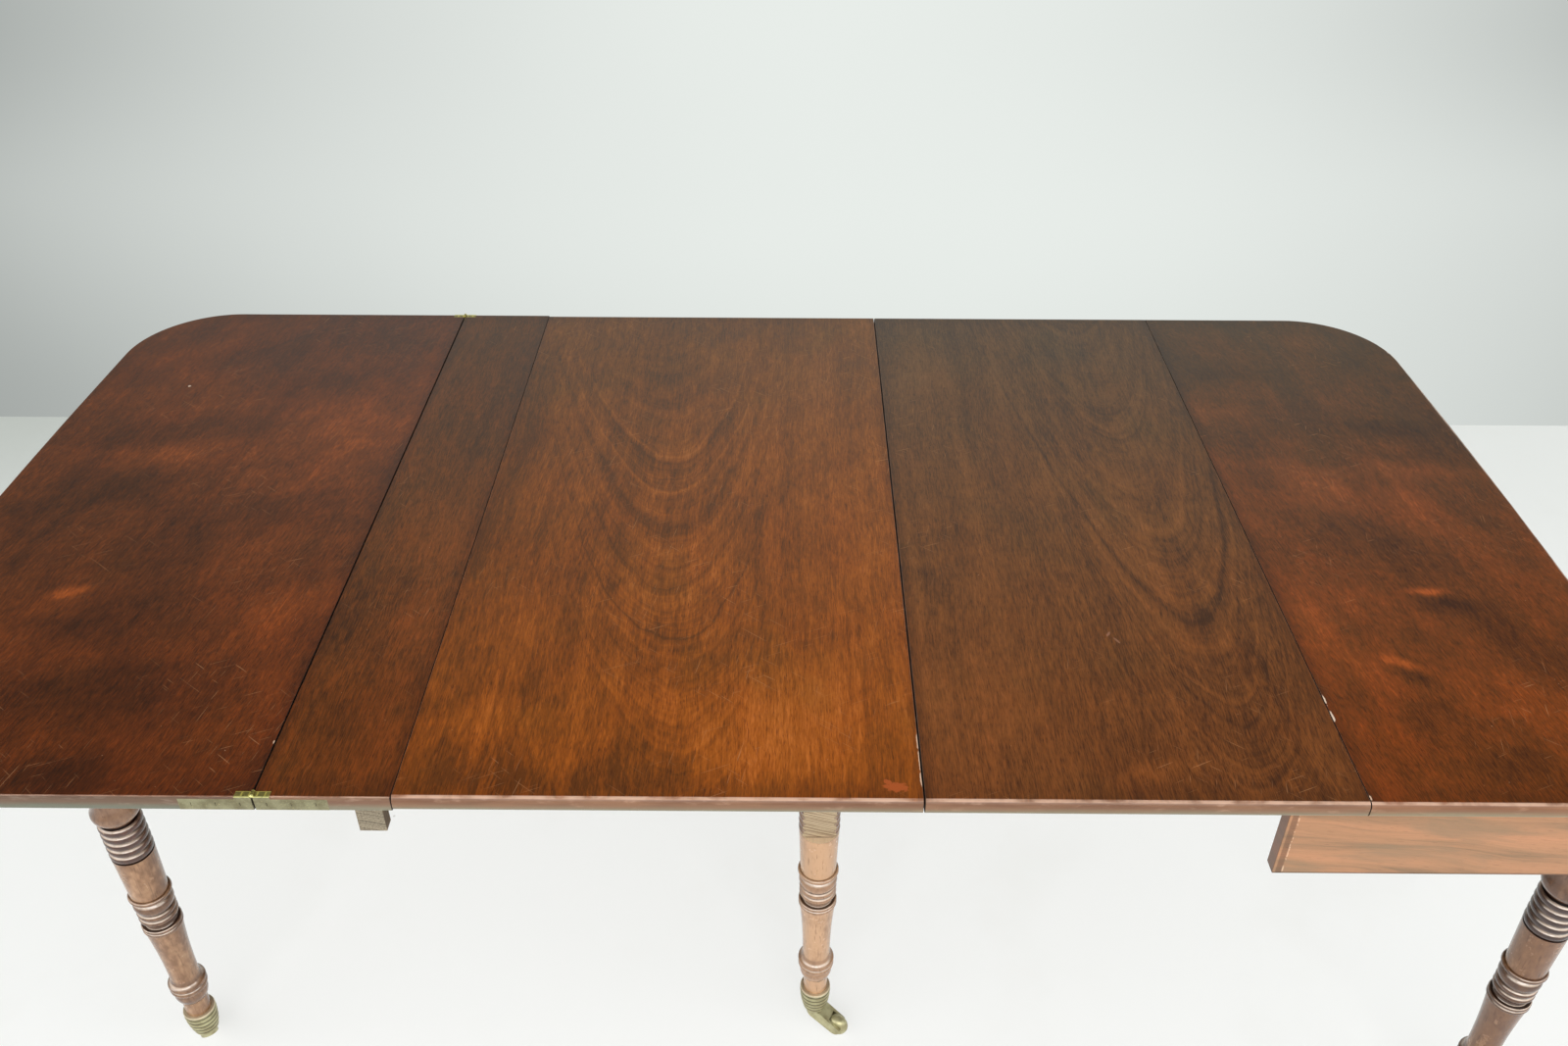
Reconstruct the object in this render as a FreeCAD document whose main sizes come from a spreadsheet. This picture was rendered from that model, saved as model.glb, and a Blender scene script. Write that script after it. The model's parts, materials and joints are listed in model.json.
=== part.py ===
import FreeCAD, Part
import math
import os
from types import SimpleNamespace

import Sketcher
from FreeCAD import Placement, Rotation, Vector

# Concertina dining table: five boards on a folding frame with three pairs of turned legs.
# Millimetres and degrees, +Z up, +X towards the fixed end, near side at -Y,
# origin on the floor under the middle of the opened top.

SIZES = {
    # Boards of the top, from the flap on the left to the fixed end on the right
    "table_height": 730,
    "table_width": 1200,
    "top_thickness": 22,
    "strip_width": 155,
    "wide_leaf_width": 604,
    "narrow_leaf_width": 503,
    "end_width": 421,
    "card_gap": 2.4,
    "leaf_gap": 0.8,
    "middle_gap": 1.6,
    "corner_radius": 160,
    "end_bow": 12,
    "edge_round": 7,
    "flap_edge_round": 3,
    # Battens under the boards
    "batten_width": 32,
    "batten_height": 43,
    "strip_batten_setback": 15,
    "strip_batten_inset": 9,
    "leaf_batten_setback": 64,
    "leaf_batten_inset": 120,
    "apron_passage": 3,
    # Leg places and the fixed joinery
    "leg_block": 54,
    "end_leg_setback": 106,
    "outer_leg_setback": 298,
    "end_leg_inset": 56,
    "middle_leg_inset": 209,
    "outer_leg_inset": 162,
    "apron_height": 130,
    "apron_thickness": 20,
    "side_apron_length": 361,
    "end_apron_thickness": 22,
    "end_apron_setback": 2,
    "rear_rail_setback": 5,
    "rear_rail_width": 30,
    "rear_rail_height": 40,
    "cross_rail_thickness": 24,
    "tenon_thickness": 10,
    "tenon_length": 18,
    "tenon_shoulder": 20,
    "leg_tenon": 30,
    "leg_tenon_length": 55,
    "joint_fit": 0.1,
    "seat_gap": 0.2,
    # Folding rails and their butt hinges
    "rail_inset": 134,
    "rail_thickness": 20,
    "rail_height": 80,
    "rail_end_gap": 0.4,
    "beam_overhang": 3,
    "hinge_block_margin": 20,
    "hinge_height": 48,
    "hinge_reach": 15,
    "hinge_plate": 2,
    "knuckle_count": 3,
    "knuckle_radius": 4,
    "knuckle_room": 0.5,
    "knuckle_gap": 0.3,
    "hinge_pin_radius": 2,
    "pin_clearance": 0.05,
    "open_pivot_clearance": 0.3,
    # Card hinges of the flap
    "card_plate_length": 84,
    "card_plate_height": 17,
    "card_plate_lift": 1.5,
    "card_plate_thickness": 2,
    "card_tab_length": 19,
    "card_tab_depth": 9,
    "card_tab_thickness": 5,
    "card_pin_lift": 0.6,
    "card_pin_radius": 0.8,
    "card_knuckle_radius": 2.2,
    "card_knuckle_room": 0.3,
    "card_knuckle_gap": 0.6,
    "screw_count": 3,
    "screw_start": 14,
    "screw_pitch": 28,
    "screw_head_radius": 3,
    "screw_head_depth": 1.6,
    "screw_radius": 1.5,
    "screw_length": 14,
    "screw_slot_width": 0.7,
    "screw_slot_depth": 0.6,
    # Turned legs, worked from the block downwards
    "collar_height": 10,
    "collar_radius": 24,
    "cup_flare_height": 30,
    "cup_radius": 30,
    "cup_height": 20,
    "cup_neck_height": 4,
    "cup_neck_radius": 22,
    "ring_count": 5,
    "ring_height": 13,
    "ring_radius": 25,
    "ring_rise": 3.6,
    "shaft_top_radius": 28,
    "shaft_foot_radius": 25.5,
    "upper_shaft_share": 0.412,
    "disc_height": 8,
    "quirk_height": 4,
    "quirk_radius": 23,
    "swell_height": 20,
    "swell_rise": 4.4,
    "small_bead_count": 2,
    "small_bead_height": 11,
    "cove_height": 9,
    "cove_radius": 22,
    "rim_count": 2,
    "rim_height": 6,
    "rim_rise": 1.6,
    "lower_shaft_radius": 26,
    "ankle_radius": 20.25,
    "ankle_sag": 1.5,
    "ankle_flare_height": 12,
    "ankle_flare_radius": 26,
    "ankle_flare_sag": 2.2,
    "ankle_rim_height": 6,
    "ankle_bead_height": 12,
    "ankle_bowl_height": 24,
    "ankle_bowl_rise": 3,
    "neck_height": 29,
    "neck_radius": 18,
    "leg_flat_depth": 11.5,
    # Brass cups and casters
    "cap_top": 97,
    "cap_bottom": 46,
    "cap_floor": 6,
    "cap_rim_radius": 22,
    "cap_rim_height": 6,
    "cap_rim_rise": 1,
    "cap_foot_radius": 15.5,
    "cap_band_count": 5,
    "cap_band_rise": 1.3,
    "cap_fit": 0.15,
    "spigot_foot_radius": 14,
    "swivel_gap": 0.3,
    "swivel_pin_radius": 4,
    "horn_head_radius": 13,
    "horn_head_height": 8,
    "horn_boss_radius": 9,
    "horn_cheek": 4,
    "caster_trail": 38,
    "wheel_radius": 18,
    "wheel_width": 17,
    "wheel_side_radius": 13.5,
    "wheel_room": 1.2,
    "wheel_side_room": 0.4,
    "axle_radius": 3,
}

# Way in which each caster trails from its leg, in degrees from +X
CASTER_ANGLES = {
    "near_end": 160,
    "far_end": 215,
    "near_middle": -25,
    "far_middle": 40,
    "near_outer": 128,
    "far_outer": -60,
}

# Where the arc round a caster's axle starts and ends on the horn's outline, in degrees from +X
HORN_ARC_START = 240
HORN_ARC_END = 40

SIDES = {"near": -1, "far": 1}
TOLERANCE = 1e-6

doc = FreeCAD.newDocument("concertina_table")
sheet = doc.addObject("Spreadsheet::Sheet", "Sizes")
places = doc.addObject("App::VarSet", "Places")
nodes = []


class Size:
    """A size as a number and as the words of its expression, which arithmetic keeps together."""

    def __init__(self, number, words):
        self.number = float(number)
        self.words = words

    @staticmethod
    def of(value):
        if isinstance(value, Size):
            return value
        return Size(value, f"({value})")

    def joined(self, sign, other, number):
        return Size(number, f"({self.words} {sign} {other.words})")

    def __add__(self, other):
        other = Size.of(other)
        return self.joined("+", other, self.number + other.number)

    def __radd__(self, other):
        return Size.of(other) + self

    def __sub__(self, other):
        other = Size.of(other)
        return self.joined("-", other, self.number - other.number)

    def __rsub__(self, other):
        return Size.of(other) - self

    def __mul__(self, other):
        other = Size.of(other)
        return self.joined("*", other, self.number * other.number)

    def __rmul__(self, other):
        return Size.of(other) * self

    def __truediv__(self, other):
        other = Size.of(other)
        return self.joined("/", other, self.number / other.number)

    def __neg__(self):
        return Size.of(-1) * self

    def root(self):
        return Size(math.sqrt(self.number), f"sqrt({self.words})")


def read_sizes():
    """Fills the sheet and gives its cells back as sizes."""
    cells = {}
    for row, (alias, value) in enumerate(SIZES.items(), start=1):
        sheet.set(f"A{row}", alias)
        sheet.set(f"B{row}", str(value))
        sheet.setAlias(f"B{row}", alias)
        cells[alias] = Size(value, f"Sizes.{alias}")
    doc.recompute()
    return SimpleNamespace(**cells)


def place(name, size):
    """Names a derived size in the document and gives it back under that name."""
    places.addProperty("App::PropertyFloat", name, "Places")
    places.setExpression(name, size.words)
    return Size(size.number, f"Places.{name}")


def ordered(span):
    """The two ends of a span, lower one first."""
    return sorted(map(Size.of, span), key=lambda end: end.number)


def counted(size):
    """Numbers from 0 for a size that is a count."""
    return range(int(size.number))


def turned_by(degrees):
    """The cosine and sine of a fixed angle."""
    return math.cos(math.radians(degrees)), math.sin(math.radians(degrees))


def move_to(thing, x, y, z):
    """Binds a thing's place to the sheet."""
    for axis, size in zip("xyz", (x, y, z)):
        thing.setExpression(f"Placement.Base.{axis}", Size.of(size).words)


def box(name, x, y, z):
    """Block between two places along each axis."""
    block = doc.addObject("Part::Box", name)
    spans = [ordered(span) for span in (x, y, z)]
    for side, (low, high) in zip(("Length", "Width", "Height"), spans):
        block.setExpression(side, (high - low).words)
    move_to(block, *(low for low, high in spans))
    return block


def upright_rod(name, x, y, z, radius):
    """Round bar along Z, between two heights."""
    low, high = ordered(z)
    bar = doc.addObject("Part::Cylinder", name)
    bar.setExpression("Radius", Size.of(radius).words)
    bar.setExpression("Height", (high - low).words)
    move_to(bar, x, y, low)
    return bar


def cross_rod(name, x, y, z, radius):
    """Round bar along Y, between two places."""
    low, high = ordered(y)
    bar = doc.addObject("Part::Cylinder", name)
    bar.setExpression("Radius", Size.of(radius).words)
    bar.setExpression("Height", (high - low).words)
    bar.Placement = Placement(Vector(), Rotation(Vector(1, 0, 0), -90))
    move_to(bar, x, low, z)
    return bar


def join(name, parts):
    """One solid from several that meet."""
    whole = doc.addObject("Part::MultiFuse", name)
    whole.Shapes = parts
    return whole


def cut(name, base, tools):
    """A base with each of the tools taken out of it."""
    rest = doc.addObject("Part::Cut", name)
    rest.Base = base
    rest.Tool = tools[0] if len(tools) == 1 else join(f"{name}_tools", tools)
    return rest


def group(name, solids):
    """Separate solids that share a node."""
    together = doc.addObject("Part::Compound", name)
    together.Links = solids
    return together


def node(thing):
    """Marks a thing as a piece of the table under its own label."""
    nodes.append(thing)
    return thing


def arc_middle(start, end, radius):
    """Middle of the short arc between two points, left of the way between them if radius > 0."""
    way = end - start
    half = way.Length / 2
    reach = abs(radius)
    rise = reach - math.sqrt(max(reach * reach - half * half, 0))
    left = Vector(-way.y, way.x, 0).normalize()
    return (start + end) / 2 + left * math.copysign(rise, radius)


def arc_radius(chord_squared, rise):
    """Radius of an arc from its chord and its rise."""
    return (chord_squared / 4 + rise * rise) / (2 * rise)


def outline(body, role, corners):
    """Closed sketch on one of the body's planes through (across, up, radius to the next) corners.

    A radius of None is a straight run; a positive one bulges to the left of the way.
    """
    sketch = body.newObject("Sketcher::SketchObject", f"{body.Name}_outline")
    plane = next(plane for plane in body.Origin.OriginFeatures if plane.Role == role)
    sketch.AttachmentSupport = [(plane, "")]
    sketch.MapMode = "FlatFace"
    points = [Vector(Size.of(a).number, Size.of(b).number, 0) for a, b, radius in corners]
    ends = []
    for index, (across, up, radius) in enumerate(corners):
        start = points[index]
        end = points[(index + 1) % len(points)]
        if radius is None:
            edge = Part.LineSegment(start, end)
        else:
            edge = Part.Arc(start, arc_middle(start, end, radius.number), end)
        number = sketch.addGeometry(edge, False)
        forward = sketch.getPoint(number, 1).distanceToPoint(start) < TOLERANCE
        ends.append((1, 2) if forward else (2, 1))
    rules = []
    words = []
    for index, (across, up, radius) in enumerate(corners):
        before = index - 1 if index else len(corners) - 1
        first = ends[index][0]
        rules.append(Sketcher.Constraint("Coincident", before, ends[before][1], index, first))
        words.append(None)
        for kind, size, axis in (("DistanceX", across, -2), ("DistanceY", up, -1)):
            size = Size.of(size)
            if abs(size.number) < TOLERANCE:
                rules.append(Sketcher.Constraint("PointOnObject", index, first, axis))
                words.append(None)
            else:
                rules.append(Sketcher.Constraint(kind, -1, 1, index, first, size.number))
                words.append(size.words)
        if radius is not None:
            rules.append(Sketcher.Constraint("Radius", index, abs(radius.number)))
            sign = "" if radius.number > 0 else "-1 * "
            words.append(sign + radius.words)
    for rule, expression in zip(sketch.addConstraint(rules), words):
        if expression:
            sketch.setExpression(f"Constraints[{rule}]", expression)
    return sketch


class Turning:
    """Outline of a turned piece: radius and height, worked downwards along its outside."""

    def __init__(self, radius, height):
        self.radius = Size.of(radius)
        self.height = Size.of(height)
        self.corners = []

    def run_to(self, radius, drop=0, rise=None):
        """Goes to a radius some way further down, along an arc if it has a rise (or a sag)."""
        radius = Size.of(radius)
        drop = Size.of(drop)
        bend = None
        if rise is not None:
            way = radius - self.radius
            bend = arc_radius(way * way + drop * drop, Size.of(rise))
        self.corners.append((self.radius, self.height, bend))
        self.radius = radius
        self.height = self.height - drop

    def bead(self, height, rise):
        """A round moulding that ends at the radius where it starts."""
        self.run_to(self.radius, height, rise)

    def close(self):
        """Ends the outline with a straight run back to its start."""
        self.corners.append((self.radius, self.height, None))
        return self.corners


def turned(name, corners):
    """Body turned about its own Z axis."""
    body = doc.addObject("PartDesign::Body", name)
    profile = outline(body, "XZ_Plane", corners)
    solid = body.newObject("PartDesign::Revolution", f"{name}_turning")
    solid.Profile = profile
    solid.ReferenceAxis = (profile, ["V_Axis"])
    solid.Angle = 360
    return body


def padded(name, role, corners, thickness, symmetric=False):
    """Body of even thickness over an outline."""
    body = doc.addObject("PartDesign::Body", name)
    solid = body.newObject("PartDesign::Pad", f"{name}_board")
    solid.Profile = outline(body, role, corners)
    solid.SideType = "Symmetric" if symmetric else "One side"
    solid.setExpression("Length", thickness.words)
    return body


def round_edges(body, radius):
    """Rounds the long edges of a board, all but those of the seams that run along Y."""
    doc.recompute()
    board = body.Tip
    names = []
    for number, edge in enumerate(board.Shape.Edges, start=1):
        box_of_edge = edge.BoundBox
        lies_flat = box_of_edge.ZLength < TOLERANCE
        along_seam = edge.Curve.TypeId == "Part::GeomLine" and box_of_edge.XLength < TOLERANCE
        if lies_flat and not along_seam:
            names.append(f"Edge{number}")
    rounding = body.newObject("PartDesign::Fillet", f"{body.Name}_rounding")
    rounding.Base = (board, names)
    rounding.setExpression("Radius", radius.words)
    return body


sizes = read_sizes()

# Places along the length of the opened top
half_width = place("half_width", sizes.table_width / 2)
flap_width = place("flap_width", sizes.strip_width + sizes.leaf_gap + sizes.end_width)
leaves = sizes.wide_leaf_width + sizes.middle_gap + sizes.narrow_leaf_width
fixed_boards = flap_width + sizes.card_gap + sizes.strip_width + sizes.end_width
right_end = place("right_end", (fixed_boards + leaves + 2 * sizes.leaf_gap) / 2)
end_left = place("end_left", right_end - sizes.end_width)
narrow_right = place("narrow_right", end_left - sizes.leaf_gap)
narrow_left = place("narrow_left", narrow_right - sizes.narrow_leaf_width)
wide_right = place("wide_right", narrow_left - sizes.middle_gap)
wide_left = place("wide_left", wide_right - sizes.wide_leaf_width)
strip_right = place("strip_right", wide_left - sizes.leaf_gap)
strip_left = place("strip_left", strip_right - sizes.strip_width)
card_seam = place("card_seam", strip_left - sizes.card_gap / 2)
flap_right = place("flap_right", strip_left - sizes.card_gap)

# Heights
top_face = sizes.table_height
underside = place("underside", top_face - sizes.top_thickness)
batten_foot = place("batten_foot", underside - sizes.batten_height)
rail_top = place("rail_top", batten_foot - sizes.seat_gap)
rail_foot = place("rail_foot", rail_top - sizes.rail_height)
apron_foot = place("apron_foot", underside - sizes.apron_height)
hinge_foot = place("hinge_foot", (rail_top + rail_foot - sizes.hinge_height) / 2)
hinge_top = place("hinge_top", hinge_foot + sizes.hinge_height)

# Leg axes and the lines of the folding rails
half_block = place("half_block", sizes.leg_block / 2)
end_leg_x = place("end_leg_x", right_end - sizes.end_leg_setback)
outer_leg_x = place("outer_leg_x", sizes.outer_leg_setback - right_end)
middle_leg_x = place("middle_leg_x", (end_leg_x + outer_leg_x) / 2)
end_leg_y = place("end_leg_y", half_width - sizes.end_leg_inset)
middle_leg_y = place("middle_leg_y", half_width - sizes.middle_leg_inset)
outer_leg_y = place("outer_leg_y", half_width - sizes.outer_leg_inset)
apron_out = place("apron_out", end_leg_y + half_block)
apron_in = place("apron_in", apron_out - sizes.apron_thickness)
rail_out = place("rail_out", half_width - sizes.rail_inset)
rail_in = place("rail_in", rail_out - sizes.rail_thickness)
half_gap = place("half_gap", sizes.rail_end_gap / 2)
end_pivot = place("end_pivot", end_leg_x - half_block - half_gap)
middle_pivot_right = place("middle_pivot_right", middle_leg_x + half_block + half_gap)
middle_pivot_left = place("middle_pivot_left", middle_leg_x - half_block - half_gap)
outer_pivot = place("outer_pivot", outer_leg_x + half_block + half_gap)
inner_fold = place("inner_fold", (end_pivot + middle_pivot_right) / 2)
outer_fold = place("outer_fold", (middle_pivot_left + outer_pivot) / 2)

# Leg lengths
spigot_foot = place("spigot_foot", sizes.cap_bottom + sizes.cap_floor + sizes.cap_fit)
small_beads = sizes.small_bead_count * sizes.small_bead_height
rims = sizes.rim_count * sizes.rim_height
cup_length = sizes.collar_height + sizes.cup_flare_height + sizes.cup_height + sizes.cup_neck_height
ring_length = place("ring_length", sizes.ring_count * sizes.ring_height)
middle_mouldings = sizes.disc_height + sizes.quirk_height + sizes.swell_height + small_beads
ankle_beads = sizes.ankle_rim_height + sizes.ankle_bead_height + sizes.ankle_bowl_height
ankle_length = sizes.ankle_flare_height + ankle_beads + sizes.neck_height
moulded = cup_length + ring_length + middle_mouldings + sizes.cove_height + rims + ankle_length
shafts = place("shafts", apron_foot - sizes.cap_top - moulded)
flat_foot = place("flat_foot", apron_foot - cup_length - ring_length)


def end_board(name, width, radius):
    """Board with round corners and a slightly bowed end, its straight seam on the body's Y axis."""
    bow_radius = place(f"{name}_bow", arc_radius(sizes.table_width * sizes.table_width, sizes.end_bow))
    corner = sizes.corner_radius
    between = bow_radius - corner
    offside = half_width - corner
    centre_x = width - bow_radius + (between * between - offside * offside).root()
    bow_x = width - bow_radius
    meet = bow_radius / between
    meet_x = place(f"{name}_meet_x", bow_x + meet * (centre_x - bow_x))
    meet_y = place(f"{name}_meet_y", half_width - meet * offside)
    centre_x = place(f"{name}_centre_x", centre_x)
    corners = [
        (0, 0, None),
        (centre_x, 0, -corner),
        (meet_x, meet_y, -bow_radius),
        (meet_x, sizes.table_width - meet_y, -corner),
        (centre_x, sizes.table_width, None),
        (0, sizes.table_width, None),
    ]
    return round_edges(padded(name, "XY_Plane", corners, sizes.top_thickness), radius)


def straight_board(name, width, radius):
    """Plain leaf with rounded near and far edges."""
    corners = [
        (0, 0, None),
        (width, 0, None),
        (width, sizes.table_width, None),
        (0, sizes.table_width, None),
    ]
    return round_edges(padded(name, "XY_Plane", corners, sizes.top_thickness), radius)


def screw(name, x, side, room):
    """Countersunk screw into the table's edge, with room all round when it is a hole."""
    face = side * half_width
    radius = sizes.screw_radius + room
    height = underside + sizes.card_plate_lift + sizes.card_plate_height / 2
    head = doc.addObject("Part::Cone", f"{name}_head")
    head.setExpression("Radius1", (sizes.screw_head_radius + room).words)
    head.setExpression("Radius2", radius.words)
    head.setExpression("Height", sizes.screw_head_depth.words)
    head.Placement = Placement(Vector(), Rotation(Vector(1, 0, 0), 90 * side))
    move_to(head, x, face, height)
    reach = face - side * (sizes.screw_length + room)
    shank = cross_rod(f"{name}_shank", x, (face, reach), height, radius)
    return join(f"{name}_whole", [head, shank])


def slotted(name, x, side, whole):
    """A screw with a driver slot across its head."""
    face = side * half_width
    height = underside + sizes.card_plate_lift + sizes.card_plate_height / 2
    slot = box(
        f"{name}_slot",
        (x - sizes.screw_slot_width / 2, x + sizes.screw_slot_width / 2),
        (face, face - side * sizes.screw_slot_depth),
        (height - 2 * sizes.screw_head_radius, height + 2 * sizes.screw_head_radius),
    )
    return cut(name, whole, [slot])


def card_half(label, hand):
    """Plates, screws and cutters of the card hinges on one board; hand is its side of the seam.

    The strip's side holds the outer knuckles and the pin, just above the top so the flap folds flat.
    """
    edge = card_seam + hand * sizes.card_gap / 2
    pin_z = top_face + sizes.card_pin_lift
    first = 0 if hand > 0 else 1
    numbers = counted(sizes.knuckle_count)
    pitch = sizes.card_tab_depth / sizes.knuckle_count
    knuckle = sizes.card_knuckle_radius
    groove = knuckle + sizes.card_knuckle_room
    bore = sizes.card_pin_radius + sizes.pin_clearance
    inset = sizes.card_knuckle_gap / 2
    plates, screws, cutters = [], [], []
    for way, side in SIDES.items():
        name = f"{label}_{way}"
        face = side * half_width
        plate_foot = underside + sizes.card_plate_lift
        plate_room = (
            (edge, edge + hand * sizes.card_plate_length),
            (face, face - side * sizes.card_plate_thickness),
            (plate_foot, plate_foot + sizes.card_plate_height),
        )
        tab_room = (
            (edge, edge + hand * sizes.card_tab_length),
            (face, face - side * sizes.card_tab_depth),
            (top_face - sizes.card_tab_thickness, top_face),
        )
        cutters += [box(f"{name}_plate_room", *plate_room), box(f"{name}_tab_room", *tab_room)]
        metal = join(f"{name}_metal", [box(f"{name}_plate", *plate_room), box(f"{name}_tab", *tab_room)])
        notches = []
        for number in numbers[1 - first::2]:
            band = (face - side * pitch * number, face - side * pitch * (number + 1))
            notches.append(cross_rod(f"{name}_notch_{number}", card_seam, band, pin_z, groove))
        solids = [cut(f"{name}_notched", metal, notches)]
        for number in numbers[first::2]:
            band = (face - side * (pitch * number + inset), face - side * (pitch * (number + 1) - inset))
            solids.append(cross_rod(f"{name}_knuckle_{number}", card_seam, band, pin_z, knuckle))
        depth = (face, face - side * sizes.card_tab_depth)
        holes = []
        for number in counted(sizes.screw_count):
            screw_x = edge + hand * (sizes.screw_start + number * sizes.screw_pitch)
            solid = screw(f"{name}_screw_{number}_solid", screw_x, side, Size.of(0))
            screws.append(slotted(f"{name}_screw_{number}", screw_x, side, solid))
            holes.append(screw(f"{name}_hole_{number}", screw_x, side, sizes.pin_clearance))
        cutters += holes
        pin_hole = cross_rod(f"{name}_bore", card_seam, depth, pin_z, bore)
        plates.append(cut(f"{name}_leaf", join(f"{name}_whole", solids), [pin_hole] + holes))
        if hand > 0:
            pin_span = (face - side * inset, face - side * (sizes.card_tab_depth - inset))
            plates.append(cross_rod(f"{name}_pin", card_seam, pin_span, pin_z, sizes.card_pin_radius))
    return plates, screws, cutters


def make_top():
    """The five boards, their battens and the card hinges."""
    flap_plates, flap_screws, flap_cutters = card_half("flap_card", -1)
    strip_plates, strip_screws, strip_cutters = card_half("strip_card", 1)

    flap = end_board("flap_body", flap_width, sizes.flap_edge_round)
    flap.Placement = Placement(Vector(), Rotation(Vector(0, 0, 1), 180))
    move_to(flap, flap_right, half_width, underside)
    node(cut("flap_top", flap, flap_cutters))

    strip = straight_board("strip_body", sizes.strip_width, sizes.flap_edge_round)
    move_to(strip, strip_left, -half_width, underside)
    node(cut("hinge_strip_top", strip, strip_cutters))

    for name, left, width in (
        ("wide_leaf_top", wide_left, sizes.wide_leaf_width),
        ("narrow_leaf_top", narrow_left, sizes.narrow_leaf_width),
    ):
        move_to(node(straight_board(name, width, sizes.edge_round)), left, -half_width, underside)
    fixed_end = node(end_board("fixed_end_top", sizes.end_width, sizes.edge_round))
    move_to(fixed_end, end_left, -half_width, underside)

    node(group("card_hinge_flap_plates", flap_plates))
    node(group("card_hinge_strip_plates", strip_plates))
    node(group("card_hinge_flap_screws", flap_screws))
    node(group("card_hinge_strip_screws", strip_screws))


def make_battens():
    """Bearers under the strip and the two leaves, which rest on the folding rails."""
    right = strip_right - sizes.strip_batten_setback
    across = (right - sizes.batten_width, right)
    height = (batten_foot, underside)
    inner = apron_in - sizes.apron_passage
    bearers = [box("strip_batten_middle", across, (-inner, inner), height)]
    for way, side in SIDES.items():
        ends = (
            side * (apron_out + sizes.apron_passage),
            side * (half_width - sizes.strip_batten_inset),
        )
        bearers.append(box(f"strip_batten_{way}", across, ends, height))
    node(group("strip_battens", bearers))

    reach = half_width - sizes.leaf_batten_inset
    for name, left, right in (
        ("wide_leaf", wide_left, wide_right),
        ("narrow_leaf", narrow_left, narrow_right),
    ):
        first = left + sizes.leaf_batten_setback
        last = right - sizes.leaf_batten_setback
        bearers = [
            box(f"{name}_batten_left", (first, first + sizes.batten_width), (-reach, reach), height),
            box(f"{name}_batten_right", (last - sizes.batten_width, last), (-reach, reach), height),
        ]
        node(group(f"{name}_battens", bearers))


def leg_outline():
    """Outline of the turned part of a leg, from its block down to the spigot in the brass cup."""
    leg = Turning(0, apron_foot)
    leg.run_to(sizes.collar_radius)
    leg.run_to(sizes.collar_radius, sizes.collar_height)
    leg.run_to(sizes.cup_radius, sizes.cup_flare_height, -sizes.ankle_flare_sag)
    leg.run_to(sizes.cup_neck_radius, sizes.cup_height, sizes.swell_rise)
    leg.run_to(sizes.cup_neck_radius, sizes.cup_neck_height)
    leg.run_to(sizes.ring_radius)
    for number in counted(sizes.ring_count):
        leg.bead(sizes.ring_height, sizes.ring_rise)
    leg.run_to(sizes.shaft_top_radius)
    leg.run_to(sizes.shaft_foot_radius, shafts * sizes.upper_shaft_share)
    leg.bead(sizes.disc_height, sizes.ring_rise)
    leg.run_to(sizes.quirk_radius)
    leg.run_to(sizes.quirk_radius, sizes.quirk_height)
    leg.bead(sizes.swell_height, sizes.swell_rise)
    for number in counted(sizes.small_bead_count):
        leg.bead(sizes.small_bead_height, sizes.ring_rise)
    leg.run_to(sizes.cove_radius)
    leg.run_to(sizes.cove_radius, sizes.cove_height, -sizes.rim_rise)
    leg.run_to(sizes.lower_shaft_radius)
    for number in counted(sizes.rim_count):
        leg.bead(sizes.rim_height, sizes.rim_rise)
    leg.run_to(sizes.ankle_radius, shafts * (1 - sizes.upper_shaft_share), -sizes.ankle_sag)
    leg.run_to(sizes.ankle_flare_radius, sizes.ankle_flare_height, -sizes.ankle_flare_sag)
    leg.bead(sizes.ankle_rim_height, sizes.rim_rise / 2)
    leg.run_to(sizes.quirk_radius)
    leg.bead(sizes.ankle_bead_height, sizes.ring_rise)
    leg.run_to(sizes.neck_radius, sizes.ankle_bowl_height, sizes.ankle_bowl_rise)
    leg.run_to(sizes.neck_radius, sizes.neck_height)
    leg.run_to(sizes.spigot_foot_radius, sizes.cap_top - spigot_foot)
    leg.run_to(0)
    return leg.close()


def cap_outline():
    """Outline of a brass cup: a reeded barrel outside, tapered socket and a hole for the caster's pin."""
    pin_hole = sizes.swivel_pin_radius + sizes.pin_clearance
    depth = sizes.cap_top - sizes.cap_bottom - sizes.cap_rim_height
    cap = Turning(sizes.neck_radius + sizes.cap_fit, sizes.cap_top)
    cap.run_to(sizes.cap_rim_radius)
    cap.bead(sizes.cap_rim_height, sizes.cap_rim_rise)
    taper = sizes.cap_rim_radius - sizes.cap_foot_radius
    bands = sizes.cap_band_count
    for number in counted(bands):
        radius = sizes.cap_rim_radius - taper * (number + 1) * (number + 1) / bands / bands
        cap.run_to(radius, depth / bands, sizes.cap_band_rise)
    cap.run_to(pin_hole)
    cap.run_to(pin_hole, -sizes.cap_floor)
    cap.run_to(sizes.spigot_foot_radius + sizes.cap_fit)
    return cap.close()


def tenon_span(low, high):
    """Heights between which a tenon stands."""
    return low + sizes.tenon_shoulder, high - sizes.tenon_shoulder


def with_fit(span, fit):
    """A span opened by a fit at both ends."""
    low, high = ordered(span)
    return low - fit, high + fit


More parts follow.
